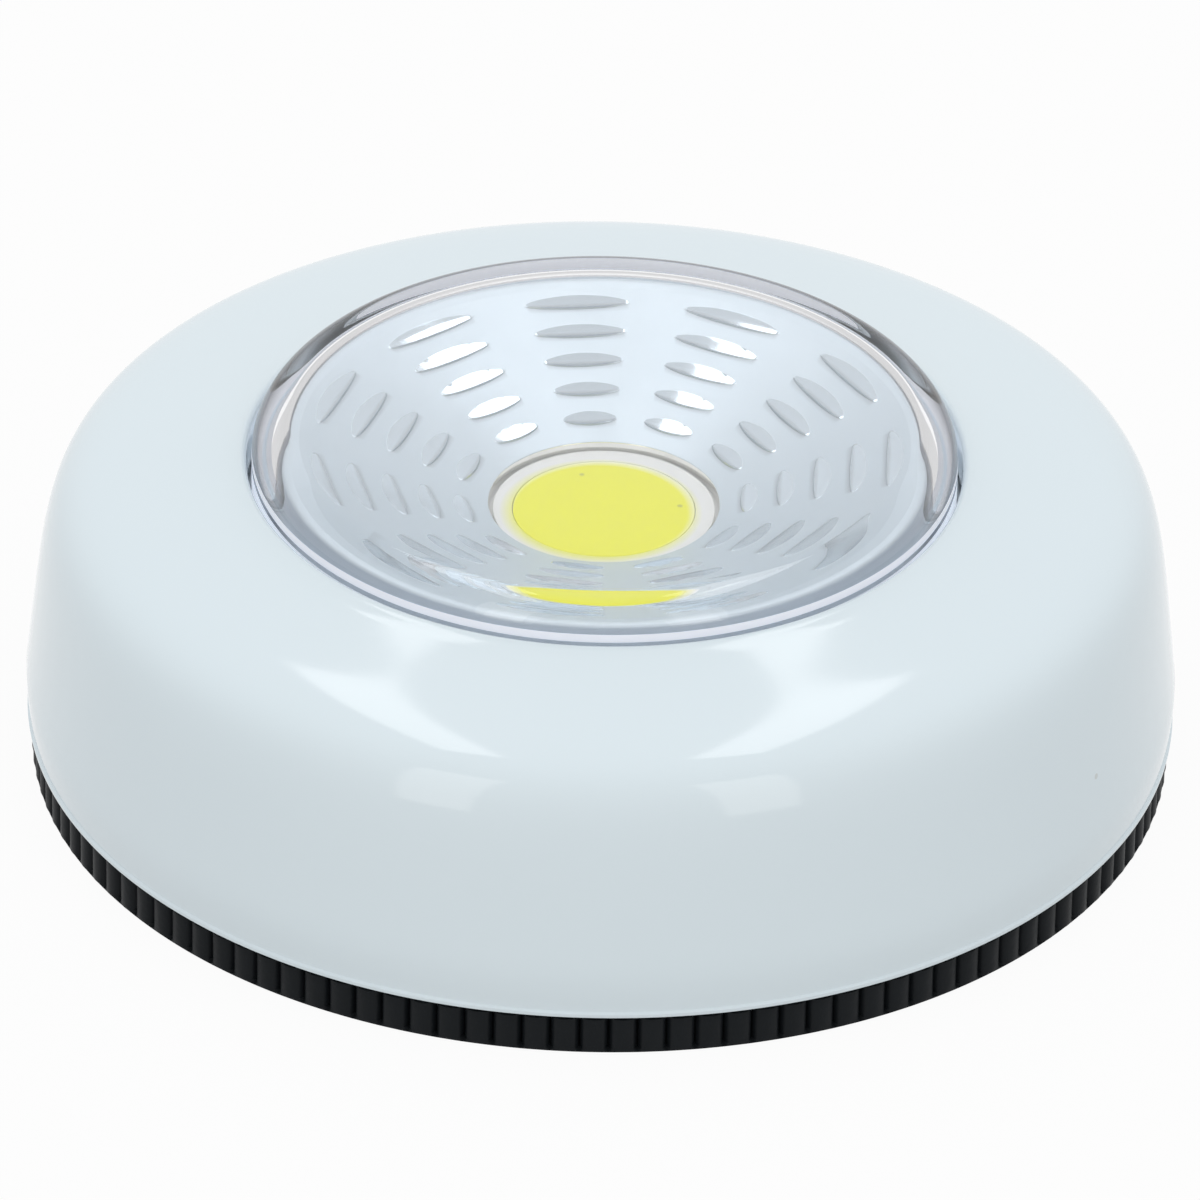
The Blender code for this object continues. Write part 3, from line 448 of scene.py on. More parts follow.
def hook_meshes():
    """Three hooks that catch the ledges of the housing, each with its stop."""
    root = floor_top - hook_root
    shoulder = hook_top - hook_chamfer
    outline = [
        (hook_inner_radius, root),
        (hook_outer_radius, root),
        (hook_outer_radius, hook_lip_bottom),
        (hook_lip_radius, hook_lip_bottom),
        (hook_lip_radius, shoulder),
        (hook_lip_radius - hook_chamfer, hook_top),
        (hook_inner_radius, hook_top),
    ]
    hook = outline_mesh("hook", outline, -hook_width / 2, hook_width / 2)
    stop_low = (hook_inner_radius, -hook_width / 2 - 0.001, root)
    stop_high = (hook_lip_radius - hook_chamfer, -hook_width / 2 + 0.0003, shoulder)
    stop = block_mesh("hook_stop", stop_low, stop_high)
    meshes = []
    for bay in range(3):
        turn = Matrix.Rotation(bay_angle(bay), 4, "Z")
        meshes += [moved(hook, turn), moved(stop, turn)]
    return meshes


def mount_hole_cutter():
    """What a screw hole takes out of the base plate, with its countersink and its small chamfer below."""
    past = 0.001
    countersink = 0.0008
    chamfer = 0.0002
    hole = [
        (0, floor_top + past, 0),
        (mount_head_radius, floor_top + past, 0),
        (mount_head_radius, floor_top, 0),
        (mount_hole_radius, floor_top - countersink, 0),
        (mount_hole_radius, base_bottom + 0.00015, 0),
        (mount_hole_radius + chamfer, base_bottom - 0.0001, 0),
        (mount_hole_radius + chamfer, base_bottom - past, 0),
        (0, base_bottom - past, 0),
    ]
    return turned_mesh("mount_hole", soften(hole), 48)


def make_base(material):
    """The base plate with its ribbed rim, spigot, pad recess, screw holes and hooks."""
    edge = 0.0002
    fine = edge / 2
    recess_outer = pad_outer_radius + pad_clearance
    recess_inner = pad_inner_radius - pad_clearance
    above_ribs = [
        (0, floor_top, 0),
        (base_dish_radius, floor_top, edge),
        (base_dish_radius, base_rim_top, fine),
        (spigot_inner_radius, base_rim_top, fine),
        (spigot_inner_radius, spigot_top, fine),
        (spigot_outer_radius, spigot_top, edge),
        (spigot_outer_radius, base_rim_top, fine),
        (rib_crest_radius, base_rim_top, fine),
    ]
    rib_wall = [(rib_crest_radius, height, 0) for height in rib_wall_heights]
    below_ribs = [
        (rib_crest_radius, foot_bottom, 0.00018),
        (rib_crest_radius - foot_ring_width, foot_bottom, fine),
        (rib_crest_radius - foot_ring_width - 0.0002, base_bottom, fine),
        (recess_outer, base_bottom, fine),
        (recess_outer, recess_ceiling, edge),
        (recess_inner, recess_ceiling, edge),
        (recess_inner, base_bottom, fine),
        (0, base_bottom, 0),
    ]
    section = soften(above_ribs + rib_wall + below_ribs, steps=3)
    disc = turned_mesh("base_disc", section, rib_count * steps_per_rib)
    plug = mount_hole_cutter()
    sides = [Matrix.Translation((side * mount_hole_spacing / 2, 0, 0)) for side in (-1, 1)]
    disc = bored("base_disc", disc, [moved(plug, side) for side in sides])
    ribbed = shaped_by("base_disc", disc, rib_tree(), material, rib_sizes)
    mesh = gathered("ribbed_base", [ribbed] + hook_meshes())
    add_piece("ribbed_base", mesh, material, "base", ["base_plate"], 32)


def make_pad(material):
    """The foam ring under the base. Its section starts and ends half way up its outside."""
    edge = 0.0001
    section = soften(
        [
            (pad_outer_radius, pad_top / 2, 0),
            (pad_outer_radius, 0.0, edge),
            (pad_inner_radius, 0.0, edge),
            (pad_inner_radius, pad_top, edge),
            (pad_outer_radius, pad_top, edge),
            (pad_outer_radius, pad_top / 2, 0),
        ]
    )
    mesh = turned_mesh("foam_pad", section[:-1], pad_steps, closed=True)
    add_piece("foam_pad", mesh, material, "base", ["adhesive_pad"])


# Housing


def dome_curve(steps):
    """The outside of the housing from its opening down to its straight side."""
    width = body_radius - opening_radius
    rise = opening_height - side_top
    start = Vector((opening_radius, opening_height))
    crown = Vector((body_radius - dome_crown_pull[0] * width, side_top + dome_crown_pull[1] * rise))
    side = Vector((body_radius - dome_side_pull[0] * width, side_top + dome_side_pull[1] * rise))
    end = Vector((body_radius, side_top))
    points = []
    for step in range(steps + 1):
        t = step / steps
        upper = (1 - t) ** 3 * start + 3 * (1 - t) ** 2 * t * crown
        points.append(upper + 3 * (1 - t) * t**2 * side + t**3 * end)
    return points


def inset(points, distance):
    """The same curve, moved in by this distance."""
    result = []
    for index, point in enumerate(points):
        along = (points[min(index + 1, len(points) - 1)] - points[max(index - 1, 0)]).normalized()
        result.append(point + Vector((along.y, -along.x)) * distance)
    return result


def make_housing(material):
    """The domed shell with the collar of its opening, three bosses and three ledges."""
    outside = dome_curve(44)
    collar_radius = opening_radius + collar_wall
    inside = [point for point in inset(dome_curve(16), housing_wall) if point.x > collar_radius + 0.0002]
    section = [Vector((opening_radius, opening_height - 0.0012))]
    lip_middle = (opening_radius + housing_lip, opening_height - housing_lip)
    section += arc(*lip_middle, housing_lip, math.pi, math.pi / 2, 6)
    section += [point for point in outside if point.x > opening_radius + 1.3 * housing_lip]
    section += soften(
        [
            (body_radius, side_top - 0.0008, 0),
            (body_radius - 0.00008, shell_bottom + 0.0012, 0),
            (body_radius - 0.00018, shell_bottom + 0.00042, 0.00005),
            (body_radius - 0.00003, shell_bottom + 0.0003, 0.00005),
            (body_radius - 0.00006, shell_bottom, 0.0001),
            (shell_inner_radius, shell_bottom, 0.0002),
            (shell_inner_radius, side_top, 0),
        ]
    )
    section += list(reversed(inside))
    section += soften(
        [
            (collar_radius, inside[0].y, 0),
            (collar_radius, collar_bottom, 0.0002),
            (opening_radius, collar_bottom, 0.0002),
            (opening_radius, collar_bottom + 0.001, 0),
        ]
    )
    shell = turned_mesh("shell", section, housing_steps, closed=True)
    boss_section = soften(
        [
            (0, boss_top, 0),
            (boss_radius, boss_top, 0),
            (boss_radius, boss_bottom, 0.0002),
            (boss_bore_radius, boss_bottom, 0.0001),
            (boss_bore_radius, boss_top - boss_bore_end, 0),
            (0, boss_top - boss_bore_end, 0),
        ]
    )
    boss = turned_mesh("boss", boss_section, 32)
    ledge_low = (ledge_inner_radius, -ledge_width / 2, ledge_bottom)
    ledge_high = (shell_inner_radius + 0.0008, ledge_width / 2, ledge_top)
    ledge = block_mesh("ledge", ledge_low, ledge_high, 0.0002)
    meshes = [shell]
    for bay in range(3):
        between = bay_angle(bay) + math.pi / 3
        meshes.append(moved(boss, Matrix.Translation(polar(boss_circle, between))))
        meshes.append(moved(ledge, Matrix.Rotation(bay_angle(bay), 4, "Z")))
    mesh = gathered("dome_shell", meshes)
    add_piece("dome_shell", mesh, material, "lamp_body", ["housing"])


# Lens


def make_lens(material, wall_material):
    """A clear cap with two bands of fine texture round the outside of its wall."""
    lower_band, upper_band = lens_texture_bands
    section = [Vector((0, lens_top)), Vector((lens_flat_radius, lens_top - 0.00001))]
    section += arc(lens_radius - lens_shoulder, lens_top - lens_shoulder, lens_shoulder, math.pi / 2, 0, 14)
    section += soften(
        [
            (lens_radius, upper_band[0], 0),
            (lens_radius, lower_band[1], 0),
            (lens_radius, lower_band[0], 0),
            (lens_radius, lens_flange_top, 0.0002),
            (flange_radius, lens_flange_top, 0.0002),
            (flange_radius, lens_flange_bottom, 0.0002),
            (lens_inner_radius, lens_flange_bottom, 0.0002),
            (lens_inner_radius, lens_underside, lens_fillet),
            (lens_flat_radius, lens_underside, 0),
        ],
        steps=8,
    )
    section.append(Vector((0, lens_underside)))
    mesh = turned_mesh("clear_lens", section, lens_steps)
    add_piece("clear_lens", mesh, material, "lamp_head", ["lens"])
    mesh.materials.append(wall_material)
    for face in mesh.polygons:
        on_wall = face.center.xy.length > lens_radius - 0.0002
        if on_wall and any(low < face.center.z < high for low, high in lens_texture_bands):
            face.material_index = 1


# Reflector


def dish_height(radius):
    return dish_bottom + (radius - reflector_hole_radius) * dish_slope


facet_sizes = {
    "Columns": facet_columns,
    "Rows": facet_rows,
    "Turn": facet_turn,
    "First row radius": facet_first_radius,
    "Row pitch": facet_row_pitch,
    "Facet depth": 0.00112,
    "Facet half angle": facet_half_steps * 2 * math.pi / (facet_columns * steps_per_column),
    "Facet slope": 0.24,
    "Facet flatness": 0.4,
    "Dish foot radius": reflector_hole_radius,
    "Dish foot height": dish_bottom,
    "Dish slope": dish_slope,
    "Dish rim radius": dish_edge_radius,
}


def facet_tree():
    """Cuts rows of shallow facets, drawn out to a point at both ends, into a plain dish."""
    end_sharpness = 0.7
    least_swell = 0.03
    dish_tolerance = 0.00003
    nearly_whole = 0.999
    tree, ins, outs = geometry_tree("dish_facets", facet_sizes)
    do = partial(calc, tree)
    radius, height, outward, turned = turned_place(tree)
    angle = do("SUBTRACT", turned, ins["Turn"])
    column = do("MULTIPLY", do("DIVIDE", angle, 2 * math.pi), ins["Columns"])
    off_column = do("SUBTRACT", column, do("ROUND", column))
    off_angle = do("DIVIDE", do("MULTIPLY", off_column, 2 * math.pi), ins["Columns"])
    off_share = do("ABSOLUTE", do("DIVIDE", off_angle, ins["Facet half angle"]))
    along = do("MINIMUM", off_share, 1.0)
    rounded = do("SUBTRACT", 1.0, do("MULTIPLY", along, along))
    swell = do("MAXIMUM", do("POWER", rounded, end_sharpness), least_swell)
    half_depth = do("MULTIPLY", ins["Facet depth"], 0.5)
    reach = do("MULTIPLY", half_depth, swell)

    # Each ring of the plain dish is moved, so that the rings half way into a row follow its facets' outline
    row = do("DIVIDE", do("SUBTRACT", radius, ins["First row radius"]), ins["Row pitch"])
    row_number = do("ROUND", row)
    station = do("MULTIPLY", do("SUBTRACT", row, row_number), 4.0)
    distance = do("ABSOLUTE", station)
    half_pitch = do("MULTIPLY", ins["Row pitch"], 0.5)
    within = do("MULTIPLY", do("MINIMUM", distance, 1.0), reach)
    beyond = do("MAXIMUM", do("SUBTRACT", distance, 1.0), 0.0)
    past = do("MULTIPLY", beyond, do("SUBTRACT", half_pitch, reach))
    shift = do("MULTIPLY", do("SIGN", station), do("ADD", within, past))
    row_out = do("MULTIPLY", row_number, ins["Row pitch"])
    row_radius = do("ADD", row_out, ins["First row radius"])
    new_radius = do("ADD", row_radius, shift)

    # Only the dish between its foot and its rim has facets
    out = do("SUBTRACT", radius, ins["Dish foot radius"])
    plain = do("ADD", do("MULTIPLY", out, ins["Dish slope"]), ins["Dish foot height"])
    off_dish = do("ABSOLUTE", do("SUBTRACT", height, plain))
    on_dish = do("LESS_THAN", off_dish, dish_tolerance)
    before_rim = do("LESS_THAN", radius, ins["Dish rim radius"])
    first_ok = do("GREATER_THAN", row, -0.51)
    last_ok = do("LESS_THAN", row_number, do("SUBTRACT", ins["Rows"], 0.5))
    in_rows = do("MULTIPLY", first_ok, last_ok)
    on_rows = do("MULTIPLY", in_rows, do("MULTIPLY", on_dish, before_rim))
    between_ends = do("LESS_THAN", along, nearly_whole)
    inside = do("MULTIPLY", do("LESS_THAN", distance, 1.0), between_ends)
    facet = do("MULTIPLY", inside, on_rows)

    # A facet lies at its own slope through the outer edge of its row, and is flatter than the dish round it
    outer_edge = do("ADD", row_radius, half_depth)
    slope_gain = do("SUBTRACT", ins["Dish slope"], ins["Facet slope"])
    raised = do("MULTIPLY", do("SUBTRACT", outer_edge, new_radius), slope_gain)
    curved = do("SUBTRACT", 1.0, do("COSINE", off_angle))
    fall = do("MULTIPLY", curved, ins["Facet flatness"])
    lowered = do("MULTIPLY", do("MULTIPLY", fall, new_radius), ins["Facet slope"])
    lift = do("MULTIPLY", do("SUBTRACT", raised, lowered), facet)
    moved_out = do("MULTIPLY", do("SUBTRACT", new_radius, radius), on_rows)
    climb = do("ADD", do("MULTIPLY", moved_out, ins["Dish slope"]), lift)
    sideways = scaled(tree, outward, moved_out)
    upward = add_node(tree, "ShaderNodeCombineXYZ", {2: climb}).outputs[0]
    offset = add_node(tree, "ShaderNodeVectorMath", {0: sideways, 1: upward}, operation="ADD").outputs[0]

    # The material reads which points are on a facet, and which on its inner edge, where it paints a dark
    # shade line
    near_edge = do("LESS_THAN", do("ABSOLUTE", do("ADD", station, 1.0)), 0.1)
    on_edge = do("MULTIPLY", do("MULTIPLY", near_edge, between_ends), on_rows)
    geometry = marked(tree, ins["Geometry"], "facet", facet)
    geometry = marked(tree, geometry, "facet_edge", on_edge)
    end_tree(tree, ins, outs, geometry, offset)
    return tree


def dish_rings():
    """Radii of the plain dish's rings: close pairs where the facets' edges will be."""
    radii = [reflector_hole_radius + 0.0002, reflector_hole_radius + 0.0004]
    for row in range(facet_rows):
        middle = facet_first_radius + row * facet_row_pitch
        for share in (-1.0, -0.75, -0.52, -0.48, -0.16, 0.16, 0.48, 0.52, 0.75):
            radii.append(middle + share * facet_row_pitch / 2)
    return radii


def make_reflector(material):
    """The faceted dish with its flange, spring cups and heat stakes."""
    hub_bottom = board_top + glue_gap
    foot = reflector_hole_radius + 0.0002
    skirt_inner = reflector_radius - reflector_skirt
    past_edge = dish_edge_radius + 0.0001
    dish = [Vector((radius, dish_height(radius))) for radius in dish_rings() if radius < dish_edge_radius]
    rim = soften(
        [
            (dish_edge_radius, dish_height(dish_edge_radius), 0),
            (past_edge, dish_height(past_edge), 0),
            (dish_lip_radius + 0.0002, dish_lip_height, 0.0001),
            (reflector_radius, dish_lip_height, 0.0003),
            (reflector_radius, reflector_flange_top, 0.0002),
            (flange_radius, reflector_flange_top, 0.0001),
            (flange_radius, reflector_flange_bottom, 0.0001),
            (skirt_inner, reflector_flange_bottom, 0.0001),
            (skirt_inner, dish_lip_height - 0.001, 0.0003),
            (*dish_foot_underside, 0.0003),
            (reflector_hole_radius + 0.0004, hub_bottom, 0),
            (reflector_hole_radius - 0.00005, hub_bottom, 0.0001),
            (reflector_hole_radius, dish_bottom, 0.0001),
            (foot, dish_height(foot), 0),
        ]
    )
    bowl = turned_mesh("dish", dish + rim[1:-1], facet_columns * steps_per_column, closed=True)
    bowl.transform(Matrix.Rotation(facet_turn, 4, "Z"))
    faceted = shaped_by("dish", bowl, facet_tree(), material, facet_sizes)
    cup_section = [(0, cup_high), (cup_radius, cup_high), (cup_radius, cup_low), (0, cup_low)]
    cup = turned_mesh("cup", [Vector(point) for point in cup_section], 32)
    pin, head = 0.0007, 0.0014
    stake_section = [(0, 0.0174), (pin, 0.0174), (pin, 0.0153), (head, 0.0153), (pin, 0.0148), (0, 0.0148)]
    stake = turned_mesh("stake", [Vector(point) for point in stake_section], 24)
    meshes = [faceted]
    for bay in range(3):
        between = bay_angle(bay) + math.pi / 3
        meshes.append(moved(cup, Matrix.Translation(polar(cup_circle, between))))
        meshes.append(moved(stake, Matrix.Translation(polar(stake_circle, bay_angle(bay)))))
    mesh = gathered("faceted_reflector", meshes)
    add_piece("faceted_reflector", mesh, material, "lamp_head", ["reflector"], 5)


# Light source


def make_light_source(ring_material, gel_material):
    """The white ring and the gel inside it, which stands up a little in the middle."""
    low = board_top + glue_gap
    ring_inner = phosphor_radius + 0.00005
    ring = soften(
        [
            (dam_outer_radius, low + 0.00005, 0),
            (dam_outer_radius, low, 0),
            (ring_inner, low, 0),
            (ring_inner, low + 0.00018, 0.00005),
            (dam_outer_radius, low + 0.00022, 0.00015),
            (dam_outer_radius, low + 0.0001, 0),
        ]
    )
    ring_mesh = turned_mesh("white_ring", ring, light_steps, closed=True)
    add_piece("white_ring", ring_mesh, ring_material, "lamp_head", ["led_dam"])
    gel = [Vector((0, low + 0.0003)), Vector((0.003, low + 0.00029)), Vector((0.0048, low + 0.00025))]
    gel += soften(
        [
            (0.0055, low + 0.00021, 0),
            (phosphor_radius, low + 0.00016, 0.00005),
            (phosphor_radius, low, 0),
            (0, low, 0),
        ]
    )
    gel_mesh = turned_mesh("phosphor_disc", gel, light_steps)
    add_piece("phosphor_disc", gel_mesh, gel_material, "lamp_head", ["led_phosphor"])


# Springs and leads, as copies of their nodes


def make_yielding_piece(name, node_name, material):
    """A copy of a node, with its doubled points merged, that takes the node's place in the given finish."""
    shape = bmesh.new()
    shape.from_mesh(nodes[node_name].data)
    bmesh.ops.remove_doubles(shape, verts=shape.verts, dist=1e-6)
    mesh = bpy.data.meshes.new(name)
    shape.to_mesh(mesh)
    shape.free()
    piece = add_piece(name, mesh, material, "lamp_body", [node_name])
    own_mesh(piece)


def make_yielding_pieces(finishes):
    steel, red, black = finishes["steel"], finishes["red"], finishes["dark"]
    for number in (1, 2, 3):
        spring, node_name = f"coil_spring_{number}", f"return_spring_{number}"
        make_yielding_piece(spring, node_name, steel)
    make_yielding_piece("slack_lead_red", "led_lead_red", red)
    make_yielding_piece("slack_lead_black", "led_lead_black", black)


# Surface effects that several finishes share


def noise(tree, place, size, detail):
    return add_node(tree, "ShaderNodeTexNoise", {"Vector": place, "Scale": size, "Detail": detail}).outputs[0]


def moulding_group():
    """Slow change of tone and gloss, and the fine unevenness that a mould leaves."""
    tree = bpy.data.node_groups.new("moulded_surface", "ShaderNodeTree")
    ins, outs = add_sockets(
        tree,
        [
            ("Colour", "NodeSocketColor", (0.8, 0.8, 0.8, 1)),
            ("Second colour", "NodeSocketColor", (0.7, 0.7, 0.7, 1)),
            ("Tone size", "NodeSocketFloat", 60.0),
            ("Gloss", "NodeSocketFloat", 0.3),
            ("Gloss spread", "NodeSocketFloat", 0.05),
            ("Grain size", "NodeSocketFloat", 900.0),
        ],
        [("Colour", "NodeSocketColor"), ("Roughness", "NodeSocketFloat"), ("Height", "NodeSocketFloat")],
    )
    place = add_node(tree, "ShaderNodeTexCoord").outputs["Object"]
    tone = noise(tree, place, ins["Tone size"], 3.0)
    tree.links.new(mixed_colour(tree, tone, ins["Colour"], ins["Second colour"]), outs["Colour"])
    patch = noise(tree, place, calc(tree, "MULTIPLY", ins["Tone size"], 4.0), 2.0)
    swing = calc(tree, "MULTIPLY", calc(tree, "SUBTRACT", patch, 0.5), ins["Gloss spread"])
    tree.links.new(calc(tree, "ADD", ins["Gloss"], swing), outs["Roughness"])
    tree.links.new(noise(tree, place, ins["Grain size"], 4.0), outs["Height"])
    return tree


def speck_group():
    """Scattered dust and fine specks, as a mask."""
    tree = bpy.data.node_groups.new("dust_specks", "ShaderNodeTree")
    rows = [("Spacing", 300.0), ("Speck size", 0.05), ("Share", 0.2)]
    ins = [(name, "NodeSocketFloat", value) for name, value in rows]
    ins, outs = add_sockets(tree, ins, [("Mask", "NodeSocketFloat")])
    place = add_node(tree, "ShaderNodeTexCoord").outputs["Object"]
    cells = add_node(tree, "ShaderNodeTexVoronoi", {"Vector": place, "Scale": ins["Spacing"]})
    chosen = add_node(tree, "ShaderNodeSeparateColor", {0: cells.outputs["Color"]}).outputs[0]
    is_chosen = calc(tree, "LESS_THAN", chosen, ins["Share"])
    close = calc(tree, "LESS_THAN", cells.outputs["Distance"], ins["Speck size"])
    tree.links.new(calc(tree, "MULTIPLY", is_chosen, close), outs["Mask"])
    return tree


moulding = moulding_group()
specks = speck_group()


def speck_mask(tree, spacing, size, share, strength):
    """Where specks lie, as a share of their colour."""
    inputs = {"Spacing": spacing, "Speck size": size, "Share": share}
    mask = add_node(tree, "ShaderNodeGroup", inputs, node_tree=specks).outputs[0]
    return calc(tree, "MULTIPLY", mask, strength)


def object_place(tree):
    """A point's three coordinates on the piece."""
    place = add_node(tree, "ShaderNodeTexCoord").outputs["Object"]
    return add_node(tree, "ShaderNodeSeparateXYZ", {0: place}).outputs


def object_radius(tree, middle=(0.0, 0.0)):
    """How far a point is from the axis, or from a line beside it."""
    place = object_place(tree)
    across, along = [calc(tree, "POWER", calc(tree, "SUBTRACT", place[i], middle[i]), 2.0) for i in (0, 1)]
    return calc(tree, "SQRT", calc(tree, "ADD", across, along))


def let_through(tree, share, surface):
    """Links the surface to the material's output, clear as far as the share says."""
    gap = add_node(tree, "ShaderNodeBsdfTransparent", {"Color": white}).outputs[0]
    blend = add_node(tree, "ShaderNodeMixShader", {0: share, 1: surface, 2: gap})
    tree.links.new(blend.outputs[0], tree.nodes["Material Output"].inputs["Surface"])


def finish(name, roughness=0.3, metallic=0.0, **settings):
    """A new material, its tree and its shader, with the constants set on the shader itself."""
    made = bpy.data.materials.new(name)
    made.use_nodes = True
    tree = made.node_tree
    shader = tree.nodes["Principled BSDF"]
    shader.inputs["Roughness"].default_value = roughness
    shader.inputs["Metallic"].default_value = metallic
    for key, value in settings.items():
        shader.inputs[key.replace("_", " ")].default_value = value
    return made, tree, shader


def moulded(name, colour, second, gloss, spread, tone, grain, bump, metallic=0.0, **settings):
    """A finish with the moulded surface, and the group that gives it."""
    made, tree, shader = finish(name, gloss, metallic, **settings)
    inputs = {
        "Colour": (*colour, 1),
        "Second colour": (*second, 1),
        "Tone size": tone,
        "Gloss": gloss,
        "Gloss spread": spread,
        "Grain size": grain,
    }
    surface = add_node(tree, "ShaderNodeGroup", inputs, node_tree=moulding).outputs
    tree.links.new(surface["Colour"], shader.inputs["Base Color"])
    tree.links.new(surface["Roughness"], shader.inputs["Roughness"])
    inputs = {"Strength": bump, "Distance": 0.0002, "Height": surface["Height"]}
    tree.links.new(add_node(tree, "ShaderNodeBump", inputs).outputs[0], shader.inputs["Normal"])
    return made, tree, shader, surface


def white_plastic():
    """Glossy white with a little pale dust."""
    look = ((0.72, 0.812, 0.862), (0.70, 0.792, 0.842), 0.08, 0.02, 30.0, 500.0, 0.006)
    made, tree, shader, surface = moulded("white_plastic", *look)
    dust = speck_mask(tree, 160.0, 0.035, 0.12, 0.35)
    dusty = mixed_colour(tree, dust, surface["Colour"], (0.45, 0.42, 0.36, 1))
    tree.links.new(dusty, shader.inputs["Base Color"])
    return made


def clear_plastic():
    """Clear, but with a painted dark edge where the lens's shoulder is seen at a low angle. It casts no
    shadow.
    """
    made, tree, shader = finish("clear_plastic", 0.0)
    # Painted shade: the shoulder's colour goes dark where it is seen at a low angle
    on_shoulder = ramp(tree, object_radius(tree), 0.0207, 0.0210)
    facing = add_node(tree, "ShaderNodeLayerWeight", {"Blend": 0.5}).outputs["Facing"]
    at_low_angle = calc(tree, "MULTIPLY", on_shoulder, ramp(tree, facing, 0.55, 0.70))
    shoulder_painted_shade = mixed_colour(tree, at_low_angle, (0.985, 0.985, 0.995, 1), (0.05, 0.06, 0.08, 1))
    tree.links.new(shoulder_painted_shade, shader.inputs["Base Color"])
    shader.inputs["Transmission Weight"].default_value = 1.0
    shader.inputs["IOR"].default_value = clear_plastic_ior
    let_through(tree, add_node(tree, "ShaderNodeLightPath").outputs["Is Shadow Ray"], shader.outputs[0])
    return made


def textured_clear_plastic():
    """The same plastic where the mould leaves it finely textured, so that it looks milky. It also glows with
    painted light, brighter low on the wall, where it lies deep in the housing.
    """
    look = ((0.86, 0.88, 0.95), (0.82, 0.84, 0.91), 0.35, 0.1, 200.0, 1500.0, 0.1)
    made, tree, shader = moulded("clear_plastic_wall", *look, IOR=clear_plastic_ior)[:3]
    shader.inputs["Transmission Weight"].default_value = 0.1
    # Painted light: the wall glows, brightly below 21 mm and dimly above 21.4 mm
    upper = ramp(tree, object_place(tree)[2], 0.0210, 0.0214)
    glow = mixed_colour(tree, upper, (0.93, 0.95, 1.0, 1), (0.40, 0.41, 0.43, 1))
    tree.links.new(glow, shader.inputs["Emission Color"])
    shader.inputs["Emission Strength"].default_value = 0.34
    return made


def white_ring_mask():
    """White ring with a thin film of gel run over its inner edge. The gel was poured a little off centre."""
    look = ((0.88, 0.90, 0.89), (0.84, 0.86, 0.85), 0.35, 0.08, 300.0, 2500.0, 0.05)
    made, tree, shader, surface = moulded("white_ring_mask", *look)
    film = ramp(tree, object_radius(tree, gel_offset), 0.0057, 0.0066, 0.9, 0.0)
    stained = mixed_colour(tree, film, surface["Colour"], (0.86, 0.88, 0.10, 1))
    tree.links.new(stained, shader.inputs["Base Color"])
    return made


def phosphor_gel():
    """Yellow gel that runs out pale at its edge and has a few specks. A weak glow of painted light brightens
    it.
    """
    look = ((0.85, 0.86, 0.015), (0.82, 0.83, 0.02), 0.35, 0.1, 300.0, 2500.0, 0.05)
    made, tree, shader, surface = moulded("phosphor_gel", *look, Specular_IOR_Level=0.2)
    fade = ramp(tree, object_radius(tree, gel_offset), 0.0056, 0.0064)
    faded = mixed_colour(tree, fade, surface["Colour"], (0.90, 0.92, 0.86, 1))
    speckled = mixed_colour(tree, speck_mask(tree, 620.0, 0.16, 0.10, 0.5), faded, (0.30, 0.32, 0.10, 1))
    tree.links.new(speckled, shader.inputs["Base Color"])
    # Painted light: a faint glow that brightens the gel
    shader.inputs["Emission Color"].default_value = (1.0, 1.0, 0.02, 1)
    shader.inputs["Emission Strength"].default_value = 0.08
    return made


def bright_metal():
    """Metallised plastic: polished where the facets and the hub are, satin on the dish round them, with a
    painted shade line along each facet's inner edge.
    """
    look = ((0.64, 0.72, 0.775), (0.61, 0.69, 0.75), 0.52, 0.06, 120.0, 700.0, 0.01)
    made, tree, shader, surface = moulded("metallised_plastic", *look, metallic=1.0)
    facet = add_node(tree, "ShaderNodeAttribute", attribute_name="facet").outputs["Fac"]
    edge = add_node(tree, "ShaderNodeAttribute", attribute_name="facet_edge").outputs["Fac"]
    on_hub = calc(tree, "LESS_THAN", object_place(tree)[2], dish_bottom - 0.00002)
    polish = mixed_value(tree, facet, surface["Roughness"], 0.05)
    tree.links.new(mixed_value(tree, on_hub, polish, 0.12), shader.inputs["Roughness"])
    # Painted shade: a thin dark line along each facet's inner edge
    edge_shade_share = calc(tree, "MULTIPLY", edge, 0.28)
    facet_edge_painted_shade = mixed_colour(tree, edge_shade_share, surface["Colour"], (0.12, 0.13, 0.15, 1))
    tree.links.new(mixed_colour(tree, on_hub, facet_edge_painted_shade, (0.95, 0.94, 0.91, 1)), shader.inputs["Base Color"])
    return made


